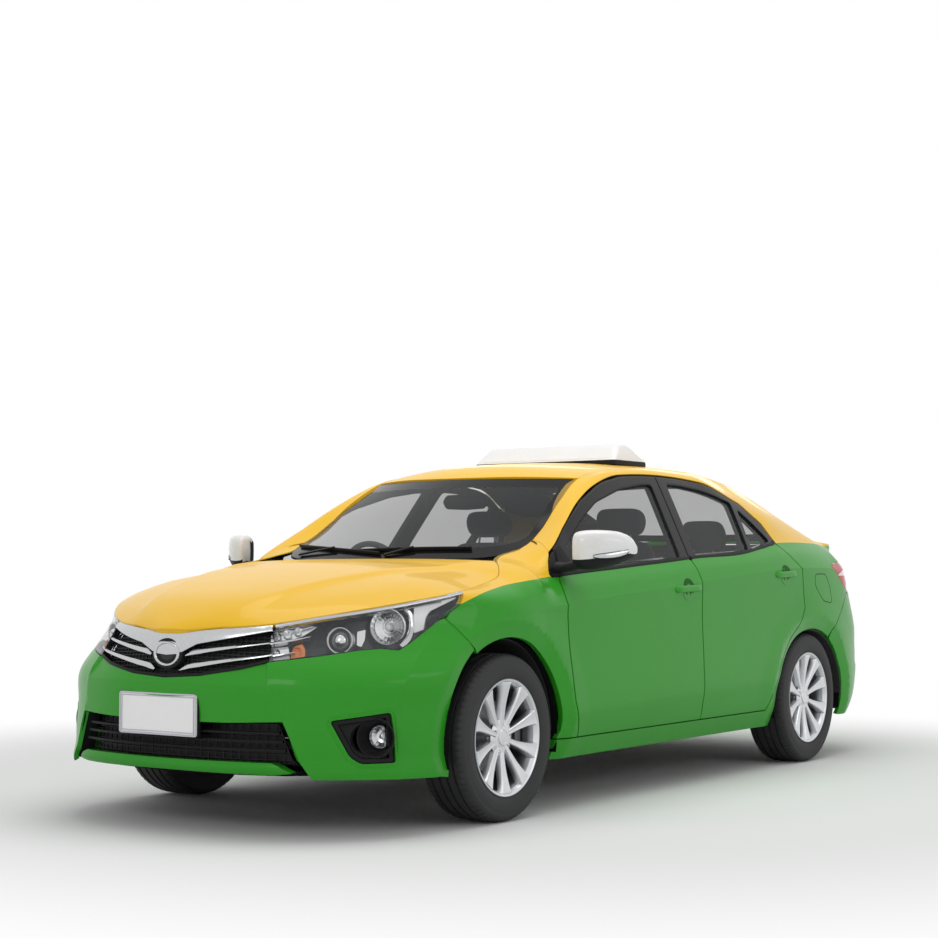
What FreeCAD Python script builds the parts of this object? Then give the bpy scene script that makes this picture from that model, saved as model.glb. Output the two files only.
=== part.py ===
import FreeCAD, Part
import Sketcher
import math
import os

# Compact four-door saloon taxi.  +X is forward, +Y is the car's left, +Z is up.  The origin lies on
# the ground, midway between the axles.  All lengths are millimetres.

os.makedirs("parts", exist_ok=True)
doc = FreeCAD.newDocument("taxi")

# ---------------------------------------------------------------- driving dimensions
SHEET_ROWS = [
    # alias, value, what it is
    ("wheelbase", 2700, "front axle to rear axle"),
    ("track", 1520, "middle of one tyre to the middle of the other"),
    ("body_length", 4620, "number plate to number plate"),
    ("body_width", 1772, "widest place of the doors"),
    ("tyre_radius", 316, "outside radius of the tyre"),
    ("tyre_width", 205, "section width of the tyre"),
    ("rim_radius", 224, "edge of the wheel's rim"),
    ("rim_well", 196, "inside radius of the wheel's barrel"),
    ("spoke_count", 10, "spokes of one wheel"),
    ("stub_radius", 15, "wheel spindle"),
    ("running_gap", 0.1, "clearance of the hub on its spindle"),
    ("hub_radius", 62, "hub of the wheel"),
    ("disc_radius", 138, "brake disc"),
    ("door_gap", 5, "gap round each opening panel"),
    ("glass_thick", 5, "window glass"),
    ("panel_thick", 26, "bonnet and boot lid with their inner frames"),
    ("skin_thick", 40, "front wing with its inner flange"),
    ("sill_inner", 745, "inner face of sills and door linings"),
    ("floor_low", 215, "underside of the floor"),
    ("floor_thick", 30, "floor with its ribs"),
    ("front_arch", 377, "radius of the front wheel opening"),
    ("rear_arch_long", 391, "half length of the rear wheel opening"),
    ("rear_arch_high", 338, "height of the rear wheel opening over the axle"),
    ("engine_long", 480, "engine and gearbox, along the car"),
    ("engine_wide", 700, "engine and gearbox, across the car"),
    ("engine_high", 420, "engine and gearbox, height"),
    ("plate_wide", 310, "rear number plate"),
    ("plate_high", 152, "number plates"),
    ("front_plate_wide", 382, "front number plate with its frame"),
    ("front_plate_shift", 33, "how far the front plate sits to the right of the middle"),
    ("steering_radius", 185, "steering wheel"),
]
sheet = doc.addObject("Spreadsheet::Sheet", "Sheet")
for number, (alias, value, meaning) in enumerate(SHEET_ROWS, start=1):
    sheet.set("A%d" % number, alias)
    sheet.set("B%d" % number, str(value))
    sheet.set("C%d" % number, meaning)
    sheet.setAlias("B%d" % number, alias)
doc.recompute()
SIZE = {alias: float(sheet.get(alias)) for alias, value, meaning in SHEET_ROWS}

FRONT_AXLE = SIZE["wheelbase"] / 2
REAR_AXLE = -SIZE["wheelbase"] / 2
WHEEL_Y = SIZE["track"] / 2
GAP = SIZE["door_gap"]
INNER = SIZE["sill_inner"]
NOSE = SIZE["body_length"] / 2
TAIL = -SIZE["body_length"] / 2
GLASS = SIZE["glass_thick"]


# ---------------------------------------------------------------- small helpers
def vec(x, y, z):
    return FreeCAD.Vector(x, y, z)


def between(table, key, column):
    """Straight-line value of a column at a key, from rows sorted by their first number."""
    if key <= table[0][0]:
        return table[0][column]
    for low, high in zip(table, table[1:]):
        if key <= high[0]:
            share = (key - low[0]) / (high[0] - low[0])
            return low[column] + share * (high[column] - low[column])
    return table[-1][column]


def ring(points):
    corners = [vec(*point) for point in points]
    return Part.makePolygon(corners + corners[:1])


def loft(sections):
    """Solid with straight faces through closed sections that have the same number of corners."""
    return Part.makeLoft([ring(section) for section in sections], True, True)


def arc_section(x, half, edge_z, top_z, thick):
    """Cross-section of a crowned sheet: two arcs and two short ends, at one station."""
    low_edge = edge_z - thick
    top = Part.Arc(vec(x, -half, edge_z), vec(x, 0, top_z), vec(x, half, edge_z)).toShape()
    low = Part.Arc(vec(x, half, low_edge), vec(x, 0, top_z - thick), vec(x, -half, low_edge)).toShape()
    left = Part.makeLine(vec(x, half, edge_z), vec(x, half, low_edge))
    right = Part.makeLine(vec(x, -half, low_edge), vec(x, -half, edge_z))
    return Part.Wire([top, left, low, right])


def prism(points, direction):
    return Part.Face(ring(points)).extrude(vec(*direction))


def side_prism(outline, low_y, high_y):
    """Outline of (x, z) corners carried across the car from low_y to high_y."""
    return prism([(x, low_y, z) for x, z in outline], (0, high_y - low_y, 0))


def block(x0, x1, y0, y1, z0, z1):
    return Part.makeBox(x1 - x0, y1 - y0, z1 - z0, vec(x0, y0, z0))


def tube_line(start, end, radius):
    axis = vec(*end) - vec(*start)
    return Part.makeCylinder(radius, axis.Length, vec(*start), axis)


def fused(shapes):
    result = shapes[0].multiFuse(shapes[1:]) if len(shapes) > 1 else shapes[0]
    return result.removeSplitter()


def mirrored(shape):
    return shape.mirror(vec(0, 0, 0), vec(0, 1, 0))


def biggest(shape):
    return max(shape.Solids, key=lambda solid: solid.Volume)


PARTS = []


def add_feature(name, shape):
    """Keep a shape made with Part's own functions as one named object."""
    feature = doc.addObject("Part::Feature", name)
    feature.Shape = shape
    feature.Label = name
    PARTS.append(feature)
    return feature


def measure(text):
    """Value of a sum or product of sheet names and numbers, read from left to right."""
    words = text.split()
    values = [SIZE[word] if word in SIZE else float(word) for word in words[::2]]
    total = values[0]
    for sign, value in zip(words[1::2], values[1:]):
        if sign == "+":
            total += value
        elif sign == "-":
            total -= value
        elif sign == "*":
            total *= value
        else:
            total /= value
    return total


def linked(text):
    """The same sum or product as an expression that FreeCAD keeps up to date."""
    return " ".join("Sheet." + word if word in SIZE else word for word in text.split())


def primitive(kind, name, sizes, place, turn=None):
    """Part primitive whose sizes and place are expressions on the sheet."""
    piece = doc.addObject("Part::" + kind, name)
    for size, text in sizes.items():
        setattr(piece, size, measure(text))
        piece.setExpression(size, linked(text))
    rotation = FreeCAD.Rotation(vec(*turn[0]), turn[1]) if turn else FreeCAD.Rotation()
    piece.Placement = FreeCAD.Placement(vec(*[measure(text) for text in place]), rotation)
    for axis, text in zip("xyz", place):
        piece.setExpression("Placement.Base." + axis, linked(text))
    return piece


def join(name, pieces):
    """Parametric union that keeps its pieces in the document."""
    union = doc.addObject("Part::MultiFuse", name)
    union.Shapes = pieces
    union.Refine = True
    union.Label = name
    PARTS.append(union)
    return union


def origin_item(body, role):
    return next(item for item in body.Origin.OriginFeatures if item.Role == role)


def profile_sketch(body, name, plane, corners):
    """Closed profile whose corners are expressions; a None lies on the sketch's upright axis."""
    sketch = body.newObject("Sketcher::SketchObject", name)
    sketch.AttachmentSupport = [(origin_item(body, plane), "")]
    sketch.MapMode = "FlatFace"
    spots = [(0.0 if across is None else measure(across), measure(up)) for across, up in corners]
    for start, end in zip(spots, spots[1:] + spots[:1]):
        sketch.addGeometry(Part.LineSegment(vec(*start, 0), vec(*end, 0)), False)
    count = len(corners)
    for index in range(count):
        sketch.addConstraint(Sketcher.Constraint("Coincident", index, 2, (index + 1) % count, 1))
    for index, (across, up) in enumerate(corners):
        if across is None:
            sketch.addConstraint(Sketcher.Constraint("PointOnObject", index, 1, -2))
        else:
            row = sketch.addConstraint(Sketcher.Constraint("DistanceX", index, 1, measure(across)))
            sketch.setExpression("Constraints[%d]" % row, linked(across))
        row = sketch.addConstraint(Sketcher.Constraint("DistanceY", index, 1, measure(up)))
        sketch.setExpression("Constraints[%d]" % row, linked(up))
    return sketch


def revolve(body, name, sketch):
    """Full turn of a profile about the sketch's upright axis."""
    turn = body.newObject("PartDesign::Revolution", name)
    turn.Profile = sketch
    turn.ReferenceAxis = (sketch, ["V_Axis"])
    turn.Angle = 360
    return turn


def place_wheel(body, axle_text, side):
    """Put a wheel's body, modelled about its own middle with its face towards +Y, on the car."""
    body.Placement = FreeCAD.Placement(vec(measure(axle_text), side * WHEEL_Y, SIZE["tyre_radius"]),
                                       FreeCAD.Rotation(vec(0, 0, 1), 0 if side > 0 else 180))
    body.setExpression("Placement.Base.x", linked(axle_text))
    body.setExpression("Placement.Base.y", "%d * Sheet.track / 2" % side)
    body.setExpression("Placement.Base.z", "Sheet.tyre_radius")
    PARTS.append(body)


# ---------------------------------------------------------------- body surface
# Plan outline of the nose and the tail at a few heights: the distance from the axle where the
# curve starts is shared, and each height has its own reach, exponents and half-width.
NOSE_START = 1250
NOSE_PLAN = [
    # z, reach, exponent along, exponent across, half-width
    (190, 2262, 2.6, 3.05, 868),
    (260, 2300, 2.6, 3.05, 876),
    (420, 2302, 2.6, 3.05, 882),
    (617, 2296, 2.35, 2.35, 886),
    (750, 2284, 2.0, 1.75, 885),
    (800, 2275, 1.95, 1.7, 884),
    (900, 2240, 1.8, 1.4, 860),
]
TAIL_START = -1350
TAIL_PLAN = [
    # z, reach, exponent, half-width
    (190, -2230, 3.4, 866),
    (300, -2292, 3.8, 874),
    (467, -2310, 4.0, 880),
    (640, -2310, 3.8, 885),
    (642, -2284, 3.6, 885),
    (836, -2264, 3.3, 884),
    (950, -2256, 3.1, 868),
    (1021, -2250, 3.2, 795),
    (1090, -2242, 4.0, 735),
]


def nose_half_width(x, z):
    reach = between(NOSE_PLAN, z, 1)
    share = max(0.0, x - NOSE_START) / (reach - NOSE_START)
    if share >= 1:
        return 0.0
    spread = 1 - share ** between(NOSE_PLAN, z, 2)
    return between(NOSE_PLAN, z, 4) * spread ** (1 / between(NOSE_PLAN, z, 3))


def tail_half_width(x, z):
    reach = between(TAIL_PLAN, z, 1)
    power = between(TAIL_PLAN, z, 2)
    share = max(0.0, TAIL_START - x) / (TAIL_START - reach)
    if share >= 1:
        return 0.0
    return between(TAIL_PLAN, z, 3) * (1 - share ** power) ** (1 / power)


def plan_ring(table, start, z, depth, steps):
    """Closed band round the nose or the tail at one height: outer curve, then inner curve."""
    reach = between(table, z, 1)
    along = between(table, z, 2)
    across = between(table, z, len(table[0]) - 2)
    width = between(table, z, len(table[0]) - 1)
    outer = []
    for step in range(2 * steps + 1):
        turn = math.pi * step / (2 * steps)
        side = 1 if step < steps else -1
        bow = math.sin(turn) ** (2 / along)
        spread = abs(math.cos(turn)) ** (2 / across) if step != steps else 0
        outer.append((bow, side * spread))
    sign = 1 if reach > start else -1
    points = [(start + (reach - start) * bow, width * spread, z) for bow, spread in outer]
    points += [(start + (reach - start - sign * depth) * bow, (width - depth) * spread, z)
               for bow, spread in reversed(outer)]
    return points


def shell(table, start, heights, depth, steps=7):
    """Wall that follows the nose or the tail between the given heights."""
    return loft([plan_ring(table, start, z, depth, steps) for z in heights])


# Side of the body, left, at cross-stations from the windscreen's foot to the tail.
SIDE_STATIONS = [
    # x, crease y, crease z, belt y, belt z, rail y, rail z, top y, top z
    (1010, 884, 807, 797, 915, 768, 955, 608, 1008),
    (870, 885, 817, 811, 928, 751, 1028, 600, 1034),
    (700, 885, 830, 819, 941, 706, 1125, 588, 1112),
    (515, 886, 844, 826, 953, 660, 1229, 570, 1242),
    (318, 886, 857, 832, 967, 627, 1309, 545, 1345),
    (74, 886, 873, 837, 983, 609, 1363, 545, 1385),
    (-230, 886, 896, 841, 1004, 618, 1374, 545, 1408),
    (-625, 886, 924, 842, 1021, 641, 1356, 545, 1414),
    (-925, 885, 944, 824, 1055, 700, 1261, 545, 1392),
    (-1130, 884, 953, 806, 1079, 722, 1215, 545, 1362),
    (-1456, 876, 955, 776, 1084, 668, 1190, 558, 1271),
    (-1691, 858, 950, 742, 1084, 655, 1143, 570, 1193),
    (-1880, 820, 944, 695, 1076, 640, 1100, 588, 1122),
]
SILL_LINES = [
    # z, y
    (213, 826),
    (300, 862),
    (560, 880),
]


def side_section(row):
    x, crease_y, crease_z, belt_y, belt_z, rail_y, rail_z, top_y, top_z = row
    trim = min(1.0, crease_y / 884)
    outer = [(x, y * trim, z) for z, y in SILL_LINES]
    outer += [(x, crease_y, crease_z), (x, belt_y, belt_z), (x, rail_y, rail_z), (x, top_y, top_z)]
    lining = min(INNER, belt_y - 60)
    inner = [
        (x, top_y - 12, top_z - 38),
        (x, rail_y - 48, rail_z - 30),
        (x, lining, belt_z - 25),
        (x, lining, crease_z - 30),
        (x, lining, 560),
        (x, lining, 300),
        (x, lining, 213),
    ]
    return outer + inner


# Door outlines in side view with the body's half-width at each corner.
# x, y, z
FRONT_DOOR = [
    (855, 858, 284), (907, 874, 430), (935, 882, 630), (955, 885, 810), (960, 812, 919), (959, 794, 942),
    (869, 751, 1027), (715, 711, 1118), (493, 656, 1239), (262, 618, 1329), (74, 609, 1363),
    (-102, 611, 1375), (-226, 618, 1373), (-139, 839, 998), (-175, 886, 892), (-192, 882, 633),
    (-190, 858, 284),
]
REAR_DOOR = [
    (-195, 858, 284), (-197, 882, 633), (-180, 886, 892), (-144, 839, 998), (-231, 618, 1373),
    (-451, 628, 1370), (-625, 641, 1355), (-791, 661, 1325), (-925, 700, 1260), (-1031, 755, 1170),
    (-1074, 802, 1090), (-1080, 811, 1072), (-1233, 880, 949), (-1258, 884, 760), (-1200, 884, 672),
    (-1105, 882, 610), (-1030, 880, 530), (-960, 870, 430), (-845, 858, 284),
]
# Window holes in side view.
# x, y, z
FRONT_WINDOW = [(748, 806, 958), (758, 749, 1047), (560, 704, 1155), (378, 666, 1236), (133, 643, 1300),
                (-60, 636, 1326), (-152, 640, 1331), (-30, 832, 1005)]
REAR_WINDOW = [(-212, 832, 1012), (-292, 642, 1338), (-586, 661, 1320), (-822, 700, 1268), (-748, 833, 1042)]
QUARTER_WINDOW = [(-788, 828, 1046), (-845, 706, 1246), (-930, 750, 1182), (-1022, 806, 1086)]
DOOR_SLANT = 0.35
OUTSIDE = 960
DOOR_POST = [
    # inner y, outer y, z, how far the pillar has leant back
    (675, 718, 247, 0),
    (675, 718, 940, 0),
    (600, 640, 1150, 34),
    (549, 565, 1320, 62),
    (549, 565, 1384, 70),
]


def slanted_prism(outline, grow):
    """Prism whose rear faces lean forward with depth, so that a hinged door swings clear."""
    middle_x = sum(point[0] for point in outline) / len(outline)
    middle_z = sum(point[2] for point in outline) / len(outline)
    corners = []
    for x, y, z in outline:
        away = math.hypot(x - middle_x, z - middle_z)
        x += grow * (x - middle_x) / away
        z += grow * (z - middle_z) / away
        corners.append((x - DOOR_SLANT * (OUTSIDE - y), OUTSIDE, z))
    depth = OUTSIDE - 480
    return prism(corners, (DOOR_SLANT * depth, -depth, 0))


# ---------------------------------------------------------------- body side
side_slab = loft([side_section(row) for row in SIDE_STATIONS])


def arch_cut(axle_x, half_long, half_high, low_y, high_y):
    """Wheel opening: an ellipse over the axle, straight down below it."""
    axle_z = SIZE["tyre_radius"]
    width = high_y - low_y
    disc = Part.makeCylinder(half_high, width, vec(axle_x, low_y, axle_z), vec(0, 1, 0))
    if half_long > half_high:
        stretch = FreeCAD.Matrix()
        stretch.move(vec(-axle_x, 0, -axle_z))
        stretch.scale(half_long / half_high, 1, 1)
        stretch.move(vec(axle_x, 0, axle_z))
        disc = disc.transformGeometry(stretch)
    below = block(axle_x - half_long + 10, axle_x + half_long - 10, low_y, high_y, 100, axle_z)
    return disc.fuse(below)


def make_body_side():
    """Left sill, pillars, roof rail and rear quarter in one pressing, with its inner panels."""
    solid = fused([side_slab, quarter_solid(QUARTER_X)])
    solid = solid.cut(slanted_prism(FRONT_DOOR, GAP))
    solid = solid.cut(slanted_prism(REAR_DOOR, GAP))
    wing = [(1100, 283), (850, 283), (912, 430), (940, 630), (960, 810), (964, 917), (1100, 905)]
    solid = solid.cut(side_prism(wing, 500, OUTSIDE))
    solid = solid.cut(front_arch).cut(rear_arch)
    solid = solid.cut(block(-2400, -1650, 500, OUTSIDE, 100, 642))
    solid = solid.cut(side_prism(TAIL_LAMP_OUTLINE, 200, OUTSIDE)).cut(lid_room())
    solid = solid.cut(block(-1150, 330, 400, 546, 1250, 1500))
    hinge_post = [(1010, 300), (905, 300), (975, 640), (990, 900), (1040, 900), (1040, 720), (978, 640)]
    post = side_prism(hinge_post, INNER, INNER + 50).cut(front_arch)
    return biggest(fused([solid, post, door_post()]))


def door_post():
    """Pillar between the doors, behind their inner panels, from the sill up to the roof rail."""
    front, rear = -118, -205
    sections = []
    for inner, outer, z, lean in DOOR_POST:
        sections.append([(front - lean, inner, z), (front - lean, outer, z),
                         (rear - lean, outer, z), (rear - lean, inner, z)])
    foot = block(rear, front, 675, INNER + 12, 247, 276)
    return fused([loft(sections), foot])


def wall_inner(outer_y):
    """Inner face of the quarter's wall, kept clear of the boot opening."""
    return max(outer_y - 95, min(532, outer_y - 25))


def quarter_solid(stations):
    """Rear quarter behind the glass: the corner that runs round to the tail lamp."""
    sections = []
    for x in stations:
        outer = [(x, tail_half_width(x, z), z) for z in (642, 836, 950, 1021, 1088)]
        shelf = wall_inner(outer[-1][1])
        inner = [(x, shelf, 1088), (x, shelf, 1045)]
        inner += [(x, wall_inner(y), z - 15) for _, y, z in reversed(outer[1:-1])]
        inner.append((x, wall_inner(outer[0][1]), 642))
        sections.append(outer + inner)
    return loft(sections)


LID_STATIONS = [
    # x, half-width, edge z, middle z
    (-1925, 574, 1090, 1108),
    (-2080, 524, 1088, 1112),
    (-2215, 512, 1088, 1114),
    (-2262, 440, 1094, 1116),
]
LID_HALF = 520


def lid_room():
    """Space of the boot lid and the gap round it, seen from above and from behind."""
    plan = [(x, half + GAP) for x, half, _, _ in LID_STATIONS[:-1]]
    plan = [(plan[0][0] + GAP, plan[0][1])] + plan + [(-2400, plan[-1][1])]
    corners = plan + [(x, -half) for x, half in reversed(plan)]
    deck = prism([(x, y, 1030) for x, y in corners], (0, 0, 200))
    back = block(-2400, -2140, -LID_HALF - GAP, LID_HALF + GAP, 600, 1100)
    return deck.fuse(back)


QUARTER_X = (-1875, -1960, -2040, -2110, -2165, -2205)
TAIL_LAMP_OUTLINE = [(-1958, 842), (-1985, 925), (-2060, 972), (-2400, 972), (-2400, 772), (-2060, 780)]
front_arch = arch_cut(FRONT_AXLE, SIZE["front_arch"], SIZE["front_arch"], 480, OUTSIDE)
rear_arch = arch_cut(REAR_AXLE - 16, SIZE["rear_arch_long"], SIZE["rear_arch_high"], 640, OUTSIDE)
body_side = make_body_side()
add_feature("body_side_left", body_side)
add_feature("body_side_right", mirrored(body_side))

# ---------------------------------------------------------------- doors and side glass
def side_glass_slab():
    """Sheet of glass just inside the outer skin, from below the belt to the roof rail."""
    sections = []
    for x, crease_y, crease_z, belt_y, belt_z, rail_y, rail_z, top_y, top_z in SIDE_STATIONS[1:-2]:
        slope = (belt_y - rail_y) / (rail_z - belt_z)
        low_y = belt_y + 60 * slope - 14
        outer = [(x, low_y, belt_z - 60), (x, rail_y - 14, rail_z)]
        inner = [(x, rail_y - 14 - GLASS, rail_z), (x, low_y - GLASS, belt_z - 60)]
        sections.append(outer + inner)
    return loft(sections)


glass_slab = side_glass_slab()
for name, outline, windows in (
    ("front", FRONT_DOOR, [FRONT_WINDOW]),
    ("rear", REAR_DOOR, [REAR_WINDOW, QUARTER_WINDOW]),
):
    door = side_slab.common(slanted_prism(outline, 0)).cut(block(-1200, 1000, 500, 572, 1100, 1500))
    panes = []
    for window in windows:
        hole = prism([(x, OUTSIDE, z) for x, y, z in window], (0, 480 - OUTSIDE, 0))
        door = door.cut(hole)
        panes.append(glass_slab.common(hole))
    door = biggest(door.cut(rear_arch))
    glass = Part.makeCompound(panes) if len(panes) > 1 else biggest(panes[0])
    add_feature(name + "_door_left", door)
    add_feature(name + "_door_right", mirrored(door))
    add_feature(name + "_glass_left", glass)
    add_feature(name + "_glass_right", mirrored(glass))

# ---------------------------------------------------------------- bonnet, wings, roof, boot lid
HOOD_STATIONS = [
    # x, half-width, edge z, middle z
    (1104, 640, 952, 990),
    (1180, 700, 938, 986),
    (1240, 733, 914, 982),
    (1400, 744, 886, 979),
    (1585, 783, 866, 958),
    (1788, 706, 833, 925),
    (1950, 602, 803, 892),
    (2125, 424, 763, 842),
    (2225, 254, 745, 784),
    (2284, 80, 732, 746),
]


def make_hood(spare, lift, drop):
    """Crowned bonnet; spare, lift and drop make it wider and thicker, as the cutter for its neighbours."""
    sections = []
    for x, half, edge_z, top_z in HOOD_STATIONS:
        half += spare
        high_edge = edge_z + lift
        low_edge = edge_z - 14 - drop
        low_top = top_z - SIZE["panel_thick"] - drop
        top = Part.Arc(vec(x, -half, high_edge), vec(x, 0, top_z + lift), vec(x, half, high_edge)).toShape()
        low = Part.Arc(vec(x, half, low_edge), vec(x, 0, low_top), vec(x, -half, low_edge)).toShape()
        left = Part.makeLine(vec(x, half, high_edge), vec(x, half, low_edge))
        right = Part.makeLine(vec(x, -half, low_edge), vec(x, -half, high_edge))
        sections.append(Part.Wire([top, left, low, right]))
    return Part.makeLoft(sections, True, True)


hood = make_hood(0, 0, 0)
hood_cutter = make_hood(7, 30, 9)
hood_cutter = hood_cutter.fuse(block(2270, 2330, -90, 90, 716, 800))
add_feature("hood", hood)


def make_wing():
    """Left front wing: a curved wall from the door to the headlamp, open over the wheel."""
    sections = []
    for x, shoulder_z, edge_y, edge_z in (
        (845, 922, 780, 948),
        (1000, 912, 765, 938),
        (1235, 903, 738, 918),
        (1410, 888, 745, 898),
        (1540, 868, 760, 880),
        (1700, 846, 700, 858),
    ):
        skin = SIZE["skin_thick"]
        outer = [(x, nose_half_width(x, 300) * 0.975, 283), (x, nose_half_width(x, 560), 560),
                 (x, nose_half_width(x, 720), 720), (x, nose_half_width(x, 806), 806),
                 (x, nose_half_width(x, 806) - 32, shoulder_z), (x, edge_y, edge_z)]
        inner = [(x, edge_y, edge_z - 22)]
        inner += [(x, y - skin, z - 14) for _, y, z in reversed(outer[1:-1])]
        inner.append((x, outer[0][1] - skin, 283))
        sections.append(outer + inner)
    solid = loft(sections)
    solid = solid.cut(slanted_prism(FRONT_DOOR, GAP)).cut(front_arch)
    ahead = [(1552, 100), (1552, 652), (1586, 681), (1632, 737), (1665, 774), (1900, 774), (1900, 100)]
    solid = solid.cut(side_prism(ahead, 400, OUTSIDE))
    solid = solid.cut(side_prism(LAMP_OUTLINE, 400, OUTSIDE)).cut(hood_cutter)
    pillar_foot = [(964, 917), (1040, 912), (1040, 1100), (800, 1100), (800, 917)]
    solid = solid.cut(side_prism(pillar_foot, 400, OUTSIDE))
    return biggest(solid)


LAMP_OUTLINE = [(2214, 622), (2107, 642), (1997, 661), (1876, 661), (1786, 707), (1693, 763), (1608, 815),
                (1562, 872), (1657, 859), (1812, 832), (1942, 808), (2049, 786), (2151, 762)]
wing = make_wing()
add_feature("front_wing_left", wing)
add_feature("front_wing_right", mirrored(wing))

# ---------------------------------------------------------------- nose
NOSE_TOP_LINE = [(1540, 900), (1556, 655), (1590, 681), (1636, 737), (1669, 770), (1693, 763), (1786, 707),
                 (1876, 661), (1997, 661), (2107, 642), (2214, 622), (2258, 597), (2310, 560), (2400, 560),
                 (2400, 900)]
UPPER_MOUTH = [(-416, 622), (-323, 597), (-164, 570), (0, 560), (164, 570), (323, 597), (416, 622),
               (416, 900), (-416, 900)]
LOWER_MOUTH = [(-491, 412), (-546, 278), (546, 278), (491, 412)]
FOG_POCKET = [(630, 419), (764, 442), (769, 268), (702, 268), (679, 294)]


def across_prism(outline, low_x, high_x):
    """Outline of (y, z) corners carried along the car."""
    return prism([(low_x, y, z) for y, z in outline], (high_x - low_x, 0, 0))


def make_front_bumper():
    solid = shell(NOSE_PLAN, NOSE_START, (200, 260, 420, 617, 750, 800), 60)
    solid = solid.cut(side_prism(NOSE_TOP_LINE, -OUTSIDE, OUTSIDE))
    solid = solid.cut(block(1200, 1556, -OUTSIDE, OUTSIDE, 100, 900))
    solid = solid.cut(front_arch).cut(mirrored(front_arch))
    solid = solid.cut(across_prism(LOWER_MOUTH, 2050, 2400))
    solid = solid.cut(across_prism(UPPER_MOUTH, 2050, 2400))
    for side in (1, -1):
        pocket = across_prism([(side * y, z) for y, z in FOG_POCKET], 1860, 2250)
        solid = solid.cut(pocket)
    return biggest(solid)


front_bumper = make_front_bumper()
add_feature("front_bumper", front_bumper)
nose_wall = shell(NOSE_PLAN, NOSE_START, (617, 750, 800, 876), 105)
lamp = biggest(nose_wall.common(side_prism(LAMP_OUTLINE, 394, OUTSIDE)).cut(hood_cutter))
add_feature("headlamps", Part.makeCompound([lamp, mirrored(lamp)]))


def nose_point(y, z, back):
    """Point on the nose at a place across the car, moved back by a little."""
    reach = between(NOSE_PLAN, z, 1)
    share = min(1.0, abs(y) / between(NOSE_PLAN, z, 4))
    bow = (1 - share ** between(NOSE_PLAN, z, 3)) ** (1 / between(NOSE_PLAN, z, 2))
    return (NOSE_START + (reach - NOSE_START) * bow - back, y, z)


def nose_bar(stations, proud, depth):
    """Bar across the grille from (y, low z, high z) stations, standing proud of the nose."""
    sections = []
    for y, low, high in stations:
        x = nose_point(y, (low + high) / 2, 0)[0]
        front, back = x + proud, x - depth
        sections.append([(front, y, low), (front, y, high), (back, y, high), (back, y, low)])
    return loft(sections)


def make_grille():
    """Upper grille with its bars and badge ring, and the slatted lower grille."""
    half = [(0, 566, 708), (138, 572, 718), (280, 594, 732), (384, 616, 742)]
    whole = [(-y, low, high) for y, low, high in reversed(half[1:])] + half
    pieces = [nose_bar(whole, -28, 18)]
    rim = [(y, high - 2, high + 14) for y, low, high in whole]
    pieces.append(nose_bar(rim, -2, 40))
    sill = [(y, low - 2, low + 12) for y, low, high in whole]
    pieces.append(nose_bar(sill, -6, 40))
    for side in (1, -1):
        for low_in, low_mid, low_out in ((655, 668, 690), (608, 626, 652)):
            bar = [(side * 40, low_in, low_in + 16), (side * 200, low_mid, low_mid + 20),
                   (side * 384, low_out, low_out + 20)]
            pieces.append(nose_bar(bar, -6, 30))
    badge = Part.makeCylinder(50, 34, vec(2268, 0, 644), vec(1, 0, 0))
    pieces.append(badge)
    upper = fused(pieces).cut(hood_cutter).cut(front_bumper)
    slats = [nose_bar([(y, 282, 408) for y in (-488, -200, 0, 200, 488)], -45, 12)]
    for low in (286, 318, 350, 382):
        reach_y = 546 - (low - 278) * 0.41
        spots = [(share * reach_y, low, low + 12) for share in (-1, -0.45, 0, 0.45, 1)]
        slats.append(nose_bar(spots, -16, 40))
    return Part.makeCompound([biggest(upper), biggest(fused(slats).cut(front_bumper))])


add_feature("grille", make_grille())
plate_middle = -SIZE["front_plate_shift"]
plate_reach = SIZE["front_plate_wide"] / 2
plate_ends = (plate_middle - plate_reach, plate_middle + plate_reach)
plate = block(NOSE - 8, NOSE, plate_ends[0], plate_ends[1], 352, 352 + SIZE["plate_high"])
add_feature("front_plate", plate)

# ---------------------------------------------------------------- roof and glass
ROOF_STATIONS = [
    # x, half-width, edge z, middle z
    (420, 540, 1322, 1398),
    (318, 544, 1345, 1409),
    (74, 544, 1385, 1432),
    (-230, 544, 1408, 1450),
    (-625, 544, 1414, 1462),
    (-925, 544, 1392, 1446),
    (-1200, 544, 1352, 1408),
]


def bow(x_middle, x_side, half, z_middle, z_side):
    right, middle, left = vec(x_side, -half, z_side), vec(x_middle, 0, z_middle), vec(x_side, half, z_side)
    return Part.Arc(right, middle, left).toShape()


def curved_pane(low, high, depth):
    """Pane between two bowed edges; each edge is (middle x, side x, half, middle z, side z)."""
    sections = []
    for x_middle, x_side, half, z_middle, z_side in (low, high):
        rise = vec(x_middle - x_side, 0, z_middle - z_side).normalize() * depth
        front = bow(x_middle, x_side, half, z_middle, z_side)
        back = bow(x_middle - rise.x, x_side - rise.x, half, z_middle - rise.z, z_side - rise.z)
        left = Part.makeLine(vec(x_side, half, z_side), vec(x_side - rise.x, half, z_side - rise.z))
        right = Part.makeLine(vec(x_side, -half, z_side), vec(x_side - rise.x, -half, z_side - rise.z))
        sections.append(Part.Wire([front, left, back, right]))
    return Part.makeLoft(sections, True, True)


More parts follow.
